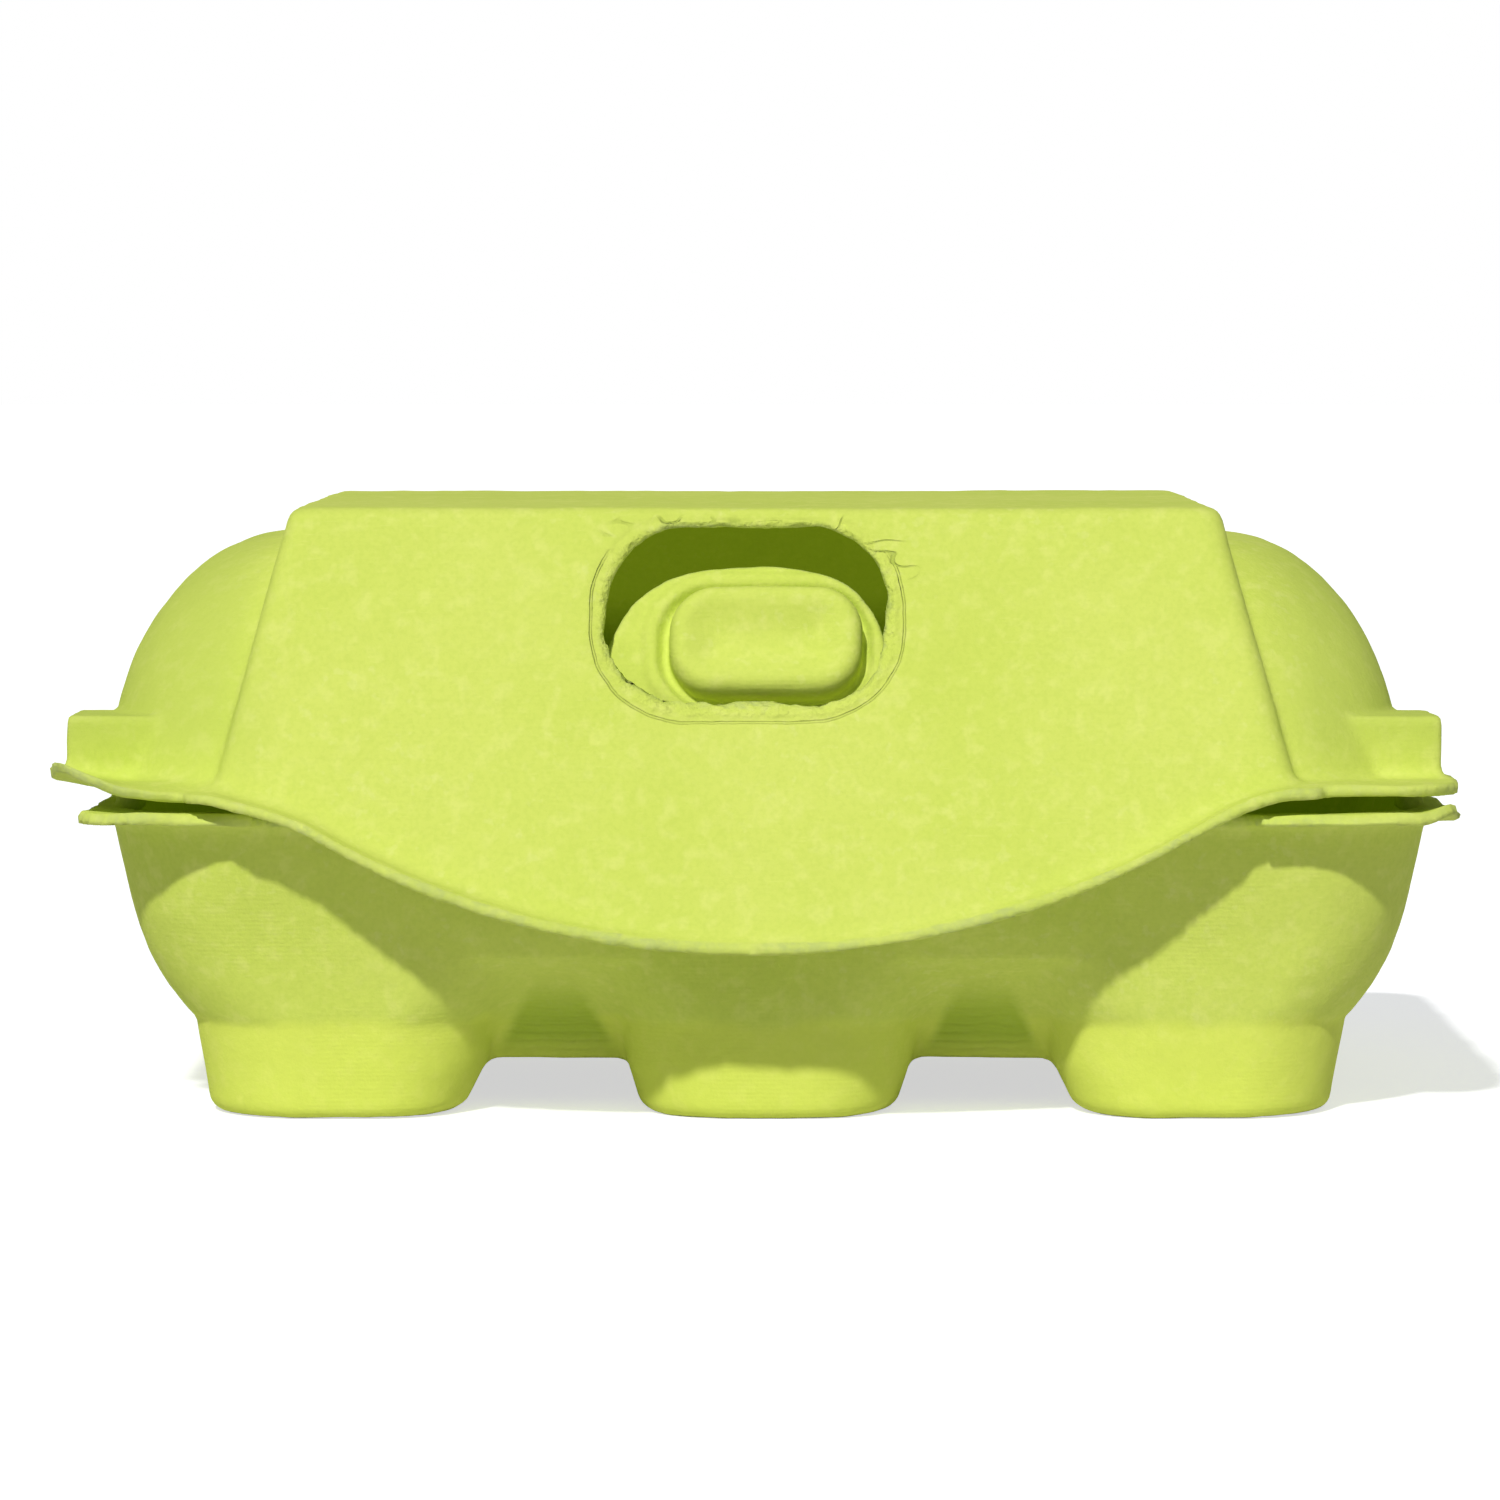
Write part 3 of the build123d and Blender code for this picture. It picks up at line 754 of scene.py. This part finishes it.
def bend_lid(points):
    """The lid's rim waves, its front left corner curls up beside a sag, and all of it sits left."""
    p = points.copy()
    wave_rim(p, DOME_X, LID_WAVE, LID_WAVE_SIZE, seed=71)
    wide = LID_CURL_WIDE * ramp(-p[:, 1], *LID_CURL_WIDE_OVER)
    near = wide + (1 - LID_CURL_WIDE) * ramp(-p[:, 1], *LID_CURL_NARROW_OVER)
    low = 1 - ramp(p[:, 2], *LID_CURL_UP_OVER)
    curl = ramp(-p[:, 0], *LID_CURL_OVER) * near * low
    p[:, 2] += LID_CURL_UP * curl
    p[:, 0] -= LID_CURL_OUT * curl
    sag = ramp(-p[:, 0], *LID_SAG_LEFT_OVER) * ramp(-p[:, 0], *LID_SAG_RIGHT_OVER)
    p[:, 2] -= LID_SAG * sag * ramp(-p[:, 1], *LID_SAG_NEAR_OVER) * low
    p[:, 0] += LID_SHIFT
    return p


def bend_tray(points):
    """The tray's rim waves, its front right corner curls up, and its front left one reaches out."""
    p = points.copy()
    wave_rim(p, WALL_X, TRAY_WAVE, TRAY_WAVE_SIZE, seed=81)
    near = ramp(-p[:, 1], *TRAY_CURL_NEAR_OVER)
    right = ramp(p[:, 0], *TRAY_CURL_OVER) * ramp(p[:, 2], *TRAY_CURL_UP_OVER)
    p[:, 2] += TRAY_CURL_UP * right * near
    p[:, 0] -= TRAY_CURL_OUT * ramp(-p[:, 0], *TRAY_CURL_OVER) * near
    return p


# ------------------------------------------------------------------ material
PULP_GREEN = (0.65, 0.75, 0.126, 1)
PULP_LIME = (0.685, 0.77, 0.146, 1)
PULP_PALE = (0.76, 0.815, 0.2, 1)
PULP_FLECK = (0.84, 0.86, 0.34, 1)
PULP_DARK = (0.48, 0.62, 0.07, 1)
# painted shade: the dark of the window's pressed ring groove and of its cracks
PULP_CRACK_SHADE = (0.22, 0.3, 0.03, 1)
PULP_EDGE = (0.46, 0.53, 0.2, 1)
# painted shade: the domes are darkened where less light falls on them
PULP_DOME_SHADE = (0.5, 0.6, 0.1, 1)
# painted light: the cells' bottoms are lightened for the light the floor throws back onto them
PULP_FOOT_PAINTED_LIGHT = (0.82, 0.9, 0.13, 1)
# painted shade: the scoops between the cells are darkened where shade falls
PULP_SCOOP_SHADE = (0.42, 0.56, 0.05, 1)
# painted light: a glow on the lid's inside for the light that comes through its walls, though nothing
# there is a lamp
PAINTED_GLOW_COLOR = (0.75, 1.0, 0.04, 1)
PULP_ROUGHNESS = 0.95
PULP_GLOSS = 0.12
PAINTED_GLOW_LEVEL = 0.095
PAINTED_GLOW_OVER = mm(46, 54)

# where the painted shade of the scoops, domes, ring and cracks, the painted light of the feet, and the
# other looks of the tray and the lid begin and are complete
SCOOP_ASIDE_OVER = mm(16.2, 18)
SCOOP_ASIDE_SLOPE = 0.45
SCOOP_FRONT_OVER = mm(24, 28)
SCOOP_UP_OVER = mm(16, 10)
FOOT_UP_OVER = mm(13, 11)
DOME_OUT_OVER = mm(50, 60)
DOME_UP_OVER = (LID_Z, LID_Z + 8 * MM)
FACE_DOWN_OVER = mm(0.7, 1.5)
LINE_OVER = mm(0.2, 0.05)
LINE_DOWN_OVER = mm(4, 7)
CRACK_FAR_OVER = mm(4.5, 2.5)
CRACK_NEAR_OVER = mm(0.3, 0.8)
CRACK_DOWN_OVER = mm(9, 6)
CRACK_THIN_OVER = (0.01, 0.002)
FRAYED_OVER = (WINDOW_RING, 0.6 * MM)


class Graph:
    """One material's nodes, with a short way to add each kind that the pulp needs."""

    def __init__(self, name):
        self.material = bpy.data.materials.new(name)
        self.material.use_nodes = True
        self.nodes = self.material.node_tree.nodes
        self.links = self.material.node_tree.links
        self.shader = self.nodes["Principled BSDF"]
        self.place = self.nodes.new("ShaderNodeTexCoord").outputs["Object"]
        axes = self.nodes.new("ShaderNodeSeparateXYZ")
        self.links.new(self.place, axes.inputs[0])
        self.x, self.y, self.z = axes.outputs

    def plug(self, socket, value):
        """Feeds a socket from another one, or sets it to a plain value."""
        if hasattr(value, "is_output"):
            self.links.new(value, socket)
        else:
            socket.default_value = value

    def math(self, kind, a, b=0.0):
        node = self.nodes.new("ShaderNodeMath")
        node.operation = kind
        self.plug(node.inputs[0], a)
        self.plug(node.inputs[1], b)
        return node.outputs[0]

    def times(self, first, *others):
        for other in others:
            first = self.math("MULTIPLY", first, other)
        return first

    def apart(self, a, b):
        """How far one value is from another."""
        return self.math("ABSOLUTE", self.math("SUBTRACT", a, b))

    def cloud(self, size, detail=3.0, rough=0.5, stretch=(1, 1, 1), at=(0, 0, 0)):
        """Noise between 0 and 1 whose features are about that size."""
        mapping = self.nodes.new("ShaderNodeMapping")
        mapping.inputs["Scale"].default_value = stretch
        mapping.inputs["Location"].default_value = at
        self.links.new(self.place, mapping.inputs["Vector"])
        texture = self.nodes.new("ShaderNodeTexNoise")
        texture.inputs["Scale"].default_value = 1 / size
        texture.inputs["Detail"].default_value = detail
        texture.inputs["Roughness"].default_value = rough
        self.links.new(mapping.outputs["Vector"], texture.inputs["Vector"])
        return texture.outputs["Fac"]

    def bands(self, size, distortion, detail):
        """Wavering level lines, such as the forming screen leaves."""
        wave = self.nodes.new("ShaderNodeTexWave")
        wave.wave_type = "BANDS"
        wave.bands_direction = "Z"
        wave.inputs["Scale"].default_value = 1 / size
        wave.inputs["Distortion"].default_value = distortion
        wave.inputs["Detail"].default_value = detail
        self.links.new(self.place, wave.inputs["Vector"])
        return wave.outputs["Fac"]

    def rise(self, value, start, end, low=0.0, high=1.0):
        """From low at start to high at end, smooth between and level outside."""
        node = self.nodes.new("ShaderNodeMapRange")
        node.interpolation_type = "SMOOTHSTEP"
        self.plug(node.inputs["Value"], value)
        node.inputs["From Min"].default_value = start
        node.inputs["From Max"].default_value = end
        node.inputs["To Min"].default_value = low
        node.inputs["To Max"].default_value = high
        return node.outputs["Result"]

    def mix(self, factor, a, b):
        node = self.nodes.new("ShaderNodeMix")
        node.data_type = "RGBA"
        node.blend_type = "MIX"
        self.plug(node.inputs["Factor"], factor)
        self.plug(node.inputs["A"], a)
        self.plug(node.inputs["B"], b)
        return node.outputs["Result"]

    def mark(self, name):
        """A number that the mesh carries at each vertex."""
        node = self.nodes.new("ShaderNodeAttribute")
        node.attribute_name = name
        return node.outputs["Fac"]

    def bump(self, height, strength, distance, under=None):
        node = self.nodes.new("ShaderNodeBump")
        node.inputs["Strength"].default_value = strength
        node.inputs["Distance"].default_value = distance
        self.plug(node.inputs["Height"], height)
        if under:
            self.links.new(under, node.inputs["Normal"])
        return node.outputs["Normal"]


def plain_pulp(g):
    """The pulp everywhere: patches, mottle, flecks, fibres and pores, duller cut edges, and grain."""
    patches = g.rise(g.cloud(24 * MM), 0.35, 0.65)
    color = g.mix(patches, PULP_GREEN, PULP_LIME)
    mottle = g.rise(g.cloud(2 * MM), 0.48, 0.72, high=0.6)
    color = g.mix(mottle, color, PULP_PALE)
    flecks = g.rise(g.cloud(1.3 * MM, detail=2, at=(3, 1, 2)), 0.6, 0.7)
    flecks = g.times(flecks, g.rise(g.cloud(30 * MM), 0.45, 0.6), 0.2)
    color = g.mix(flecks, color, PULP_FLECK)
    fibres = g.cloud(0.35 * MM, detail=1, stretch=(0.16, 0.5, 1), at=(5, 5, 5))
    color = g.mix(g.rise(fibres, 0.66, 0.78, high=0.3), color, PULP_PALE)
    pores = g.rise(g.cloud(0.6 * MM, detail=2), 0.62, 0.3, high=0.16)
    color = g.mix(pores, color, PULP_DARK)
    stretches = g.rise(g.cloud(10 * MM, 4, 0.6, at=(8, 1, 1)), 0.4, 0.6, low=0.2, high=0.6)
    broken = g.rise(g.cloud(0.9 * MM, detail=2), 0.35, 0.6, low=0.5)
    color = g.mix(g.times(g.mark("cut"), stretches, broken), color, PULP_EDGE)

    grain = g.bump(g.cloud(0.55 * MM, 4, 0.65), 0.55, 0.11 * MM)
    lumps = g.bump(g.cloud(3 * MM, detail=2), 0.35, 0.25 * MM, under=grain)
    screen = g.bands(1.5 * MM, distortion=2, detail=1)
    screen = g.times(screen, g.rise(g.cloud(14 * MM, detail=1, at=(7, 7, 7)), 0.4, 0.6))
    return color, g.bump(screen, 0.22, 0.035 * MM, under=lumps)


def tray_looks(g, color, normal):
    """The scoops between the cells get painted shade and ridges, and the cells' bottoms get painted
    light.
    """
    # painted shade darkens the scoops, which also carry ridges
    narrower = g.times(g.math("SUBTRACT", g.z, WEB_Z), SCOOP_ASIDE_SLOPE)
    between = g.math("SUBTRACT", g.math("PINGPONG", g.x, PITCH_X / 2), narrower)
    between = g.math("ADD", between, g.times(g.cloud(5 * MM, detail=2), 1.5 * MM))
    between = g.rise(between, *SCOOP_ASIDE_OVER)
    outside = g.rise(g.math("ABSOLUTE", g.y), *SCOOP_FRONT_OVER)
    scoops = g.times(g.rise(g.z, *SCOOP_UP_OVER), between, outside)
    color = g.mix(g.times(scoops, 0.75), color, PULP_SCOOP_SHADE)

    # painted light lightens the cells' bottoms
    height = g.math("ADD", g.z, g.times(g.cloud(6 * MM, detail=2), 3 * MM))
    feet = g.times(g.rise(height, *FOOT_UP_OVER), g.math("SUBTRACT", 1, scoops))
    color = g.mix(g.times(feet, 0.5), color, PULP_FOOT_PAINTED_LIGHT)

    ridges = g.bands(3.2 * MM, distortion=3, detail=2)
    return color, g.bump(g.times(ridges, scoops), 0.7, 0.3 * MM, under=normal)


def window_distance(g, down):
    """Distance outwards from the window's outline, for the material."""
    across = g.apart(g.x, WINDOW_ACROSS + LID_SHIFT)
    out_x = g.math("SUBTRACT", across, WINDOW_HALF[0] - WINDOW_CORNER)
    out_z = g.math("SUBTRACT", g.apart(down, WINDOW_DOWN), WINDOW_HALF[1] - WINDOW_CORNER)
    past_x, past_z = g.math("MAXIMUM", out_x, 0), g.math("MAXIMUM", out_z, 0)
    square = g.math("ADD", g.times(past_x, past_x), g.times(past_z, past_z))
    return g.math("SUBTRACT", g.math("SQRT", square), WINDOW_CORNER)


def lid_looks(g, color, normal):
    """Painted shade on the domes, a painted glow inside for light through the pulp, round the window a
    pressed line and cracks darkened by painted shade, and frayed pulp.
    """
    # painted shade darkens the domes
    domes = g.rise(g.math("ABSOLUTE", g.x), *DOME_OUT_OVER)
    domes = g.times(domes, g.rise(g.z, *DOME_UP_OVER))
    color = g.mix(g.times(domes, 0.5), color, PULP_DOME_SHADE)

    under = g.mark("under")
    down = g.math("DIVIDE", g.math("SUBTRACT", TOP_Z, g.z), cos(FRONT_LEAN))
    beside = window_distance(g, down)
    front = g.times(g.math("LESS_THAN", g.y, -WINDOW_BACK), g.rise(down, *FACE_DOWN_OVER))
    front = g.times(front, g.math("SUBTRACT", 1, under))

    waver = g.times(g.math("SUBTRACT", g.cloud(3 * MM, detail=2), 0.5), 0.5 * MM)
    ring = g.rise(g.apart(g.math("ADD", beside, waver), WINDOW_RING), *LINE_OVER)
    ring = g.times(ring, front, g.rise(down, *LINE_DOWN_OVER))
    patchy_ring_shade = g.rise(g.cloud(5 * MM, detail=2, at=(6, 2, 8)), 0.4, 0.62, low=0.03, high=0.16)

    vein = g.cloud(11 * MM, detail=2, stretch=(1, 0.2, 1.9), at=(2, 9, 4))
    crack = g.rise(g.apart(vein, 0.5), *CRACK_THIN_OVER)
    near = g.times(g.rise(beside, *CRACK_FAR_OVER), g.rise(beside, *CRACK_NEAR_OVER))
    above = g.rise(down, *CRACK_DOWN_OVER)
    patchy = g.rise(g.cloud(6 * MM, detail=1, at=(1, 4, 6)), 0.44, 0.56)
    crack = g.times(crack, near, above, patchy, front)
    # painted shade in the ring's groove, patchy along it, and in the cracks
    lines = g.math("MAXIMUM", g.times(ring, patchy_ring_shade), g.times(crack, 0.4))
    color = g.mix(lines, color, PULP_CRACK_SHADE)

    # painted light: the lid's inside glows
    g.plug(g.shader.inputs["Emission Color"], PAINTED_GLOW_COLOR)
    g.plug(g.shader.inputs["Emission Strength"], g.times(under, g.rise(g.z, *PAINTED_GLOW_OVER), PAINTED_GLOW_LEVEL))
    pressed = g.times(g.math("MAXIMUM", ring, crack), -1)
    normal = g.bump(pressed, 0.8, 0.25 * MM, under=normal)
    frayed = g.times(g.cloud(1.4 * MM), g.rise(beside, *FRAYED_OVER), front)
    return color, g.bump(frayed, 0.9, 0.9 * MM, under=normal)


def pulp_material(name, looks=None):
    """Lime-green moulded pulp, matte, with what the looks of one sheet add to it."""
    g = Graph(name)
    g.plug(g.shader.inputs["Roughness"], PULP_ROUGHNESS)
    g.plug(g.shader.inputs["Specular IOR Level"], PULP_GLOSS)
    color, normal = plain_pulp(g)
    if looks:
        color, normal = looks(g, color, normal)
    g.plug(g.shader.inputs["Base Color"], color)
    g.plug(g.shader.inputs["Normal"], normal)
    return g.material


pulp = pulp_material("pulp")
lid_pulp = pulp_material("pulp_window", lid_looks)
tray_pulp = pulp_material("pulp_tray", tray_looks)


# ------------------------------------------------------------------ the three sheets
def finish_piece(piece, body, *nodes, material=pulp):
    """The pulp finish, the CAD body that the piece moves with, and the nodes it stands for."""
    piece.data.materials.clear()
    piece.data.materials.append(material)
    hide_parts(*nodes)
    if body:
        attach(piece, body)


lid = pulp_sheet(
    "lid", lid_sheet,
    low=(-rim_high.x, apron_low.y - LIP_OUT - LIP_LEFT, APRON_Z),
    high=(rim_high.x, REAR_Y, TOP_Z),
    step=GRID_LID, triangles=SHEET_TRIANGLES, seed=101, bend=bend_lid,
)
finish_piece(
    lid, "lid", "lid_saddle", "lid_apron", "lid_left_dome", "lid_right_dome",
    "lid_left_ear", "lid_right_ear", "lid_rim", material=lid_pulp,
)
tray = pulp_sheet(
    "tray", tray_sheet,
    low=(-tray_rim_high.x, tray_rim_low.y - TRAY_LIP, 0),
    high=(tray_rim_high.x, REAR_Y, post_high.z),
    step=GRID_TRAY, triangles=SHEET_TRIANGLES, seed=201, bend=bend_tray,
)
finish_piece(
    tray, "tray", "front_left_cell", "front_centre_cell", "front_right_cell",
    "rear_left_cell", "rear_centre_cell", "rear_right_cell", "left_post", "right_post",
    "tray_rim", "left_stub", "right_stub", material=tray_pulp,
)
flap = pulp_sheet(
    "flap", flap_sheet,
    low=(-FLAP_SIDE, flap_low.y, flap_low.z), high=(FLAP_SIDE, flap_high.y, flap_high.z),
    step=GRID_FLAP, triangles=FLAP_TRIANGLES, seed=301,
)
finish_piece(flap, "flap", "lock_flap", "lock_button")

# ------------------------------------------------------------------ the two folds
FOLD_STEP = 0.5 * MM
FOLD_SIDE_POINTS = 4
FOLD_SMOOTHINGS = 3


def fold(name, outline, half, waver, seed):
    """A strip of pulp along X: a closed outline in Y and Z, drawn out to both sides."""
    corners = np.array(outline)
    along = np.arange(FOLD_SIDE_POINTS)[:, None] / FOLD_SIDE_POINTS
    sides = zip(corners, np.roll(corners, -1, axis=0))
    ring = np.concatenate([a + (b - a) * along for a, b in sides])
    for _ in range(FOLD_SMOOTHINGS):
        ring = (np.roll(ring, 1, 0) + 2 * ring + np.roll(ring, -1, 0)) / 4
    count, steps = len(ring), int(2 * half / FOLD_STEP)
    x = np.repeat(np.linspace(-half, half, steps + 1), count)
    points = np.column_stack([x, np.tile(ring, (steps + 1, 1))])
    points[:, 1] += waver * noise(points * [1, 0.3, 0.3], 5 * MM, seed)
    first = np.arange(steps)[:, None] * count
    start = (first + np.arange(count)).ravel()
    after = (first + (np.arange(count) + 1) % count).ravel()
    faces = np.stack([start, start + count, after + count, after], 1)
    piece = mesh_object(name, points, faces)
    shape = bmesh.new()
    shape.from_mesh(piece.data)
    bmesh.ops.holes_fill(shape, edges=[e for e in shape.edges if e.is_boundary])
    bmesh.ops.recalc_face_normals(shape, faces=shape.faces)
    shape.to_mesh(piece.data)
    shape.free()
    return piece


# a C-shaped fold round the two rims' rear edges, closed: its outside, then its inside
rear_y = hinge_low.y
rear_tuck = rear_y - 0.6 * MM
rear_turn = rear_y + 0.8 * MM
rear_inner = rear_y + 0.45 * MM
rear_outer = hinge_high.y - 0.05 * MM
mid_z = (hinge_low.z + hinge_high.z) / 2
rear_fold = fold(
    "rear_fold",
    [
        (rear_tuck, hinge_low.z + 0.1 * MM), (rear_turn, hinge_low.z + 0.2 * MM),
        (rear_outer, mid_z - 0.6 * MM), (rear_outer, mid_z + 0.6 * MM),
        (rear_turn, hinge_high.z - 0.2 * MM), (rear_tuck, hinge_high.z - 0.1 * MM),
        (rear_tuck, LID_Z + 0.1 * MM), (rear_inner, LID_Z - 0.2 * MM),
        (rear_inner, TRAY_Z + 0.2 * MM), (rear_tuck, TRAY_Z - 0.1 * MM),
    ],
    half=hinge_high.x, waver=0.12 * MM, seed=51,
)
finish_piece(rear_fold, None, "rear_hinge_strip")
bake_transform(rear_fold)

# a plain strip from the tray's front wall into the flap's foot
foot_y, foot_z = -WALL_Y + PULP / 2, crease_low.z + FLAP_FOOT_UP
root_z = TRAY_Z - 0.5 * MM
root_in = 0.05 * MM
flap_in = 1.3 * MM
flap_half = 0.95 * PULP / 2
end_y, end_z = foot_y + flap_in * sin(FLAP_LEAN), foot_z + flap_in * cos(FLAP_LEAN)
side_y, side_z = -flap_half * cos(FLAP_LEAN), flap_half * sin(FLAP_LEAN)
flap_fold = fold(
    "flap_fold",
    [
        (-WALL_Y + root_in, root_z), (-WALL_Y + PULP - root_in, root_z),
        (end_y - side_y, end_z - side_z), (end_y + side_y, end_z + side_z),
    ],
    half=FLAP_SIDE - 0.4 * MM, waver=0.05 * MM, seed=61,
)
finish_piece(flap_fold, None, "flap_crease")
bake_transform(flap_fold)

# ------------------------------------------------------------------ floor, light and camera
FLOOR_SIZE = 12
FLOOR_SEEN = 0.7
FLOOR_LIFT = 0.62
FLOOR_UNSEEN = 0.74
SKY = (0.85, 0.93, 1.0, 1)
SKY_LEVEL = 0.2
KEY_FROM = (-0.25, -1.0, 0.9)
KEY_ENERGY = 2.6
KEY_ANGLE = radians(2.5)
CAMERA_BACK = 0.700
CAMERA_UP = 0.0847
CAMERA_DOWN = radians(3.886)
CAMERA_CLIP = 0.01
SENSOR = 36.0
LENS = 149.808
SHIFT_X = -0.01333


def seen_or_not(tree, seen, unseen):
    """A shader that rays from the camera, gloss and glass see as one thing, and the rest as another."""
    path = tree.nodes.new("ShaderNodeLightPath")
    either = tree.nodes.new("ShaderNodeMixShader")
    first = tree.nodes.new("ShaderNodeMath")
    first.operation = "MAXIMUM"
    second = tree.nodes.new("ShaderNodeMath")
    second.operation = "MAXIMUM"
    tree.links.new(path.outputs["Is Camera Ray"], first.inputs[0])
    tree.links.new(path.outputs["Is Glossy Ray"], first.inputs[1])
    tree.links.new(first.outputs[0], second.inputs[0])
    tree.links.new(path.outputs["Is Transmission Ray"], second.inputs[1])
    tree.links.new(second.outputs[0], either.inputs[0])
    tree.links.new(unseen, either.inputs[1])
    tree.links.new(seen, either.inputs[2])
    return either.outputs[0]


def floor_material():
    """Pale and matt. The camera sees it lifted to white, with the object's shadow kept."""
    material = bpy.data.materials.new("floor")
    material.use_nodes = True
    tree = material.node_tree
    tree.nodes.remove(tree.nodes["Principled BSDF"])

    def matt(level):
        shader = tree.nodes.new("ShaderNodeBsdfDiffuse")
        shader.inputs["Color"].default_value = (level, level, level, 1)
        return shader.outputs[0]

    lift = tree.nodes.new("ShaderNodeEmission")
    lift.inputs["Strength"].default_value = FLOOR_LIFT
    both = tree.nodes.new("ShaderNodeAddShader")
    tree.links.new(matt(FLOOR_SEEN), both.inputs[0])
    tree.links.new(lift.outputs[0], both.inputs[1])
    result = seen_or_not(tree, both.outputs[0], matt(FLOOR_UNSEEN))
    tree.links.new(result, tree.nodes["Material Output"].inputs["Surface"])
    return material


bpy.ops.mesh.primitive_plane_add(size=FLOOR_SIZE)
floor = bpy.context.object
floor.name = "floor"
floor.data.materials.append(floor_material())

world = bpy.data.worlds.new("studio")
bpy.context.scene.world = world
world.use_nodes = True
tree = world.node_tree
background = tree.nodes["Background"]
background.inputs["Color"].default_value = SKY
background.inputs["Strength"].default_value = SKY_LEVEL
white = tree.nodes.new("ShaderNodeBackground")
white.inputs["Color"].default_value = (1, 1, 1, 1)
result = seen_or_not(tree, white.outputs[0], background.outputs[0])
tree.links.new(result, tree.nodes["World Output"].inputs["Surface"])

key = bpy.data.lights.new("key", "SUN")
key.energy = KEY_ENERGY
key.angle = KEY_ANGLE
key_object = bpy.data.objects.new("key", key)
bpy.context.collection.objects.link(key_object)
key_object.rotation_euler = Vector(KEY_FROM).to_track_quat("Z", "Y").to_euler()

camera = bpy.data.cameras.new("camera")
camera.sensor_width = SENSOR
camera.lens = LENS
camera.shift_x = SHIFT_X
camera.clip_start = CAMERA_CLIP
camera_object = bpy.data.objects.new("camera", camera)
bpy.context.collection.objects.link(camera_object)
camera_object.location = (0, -CAMERA_BACK, CAMERA_UP)
camera_object.rotation_euler = (pi / 2 - CAMERA_DOWN, 0, 0)
bpy.context.scene.camera = camera_object
bpy.context.scene.view_settings.view_transform = "Standard"
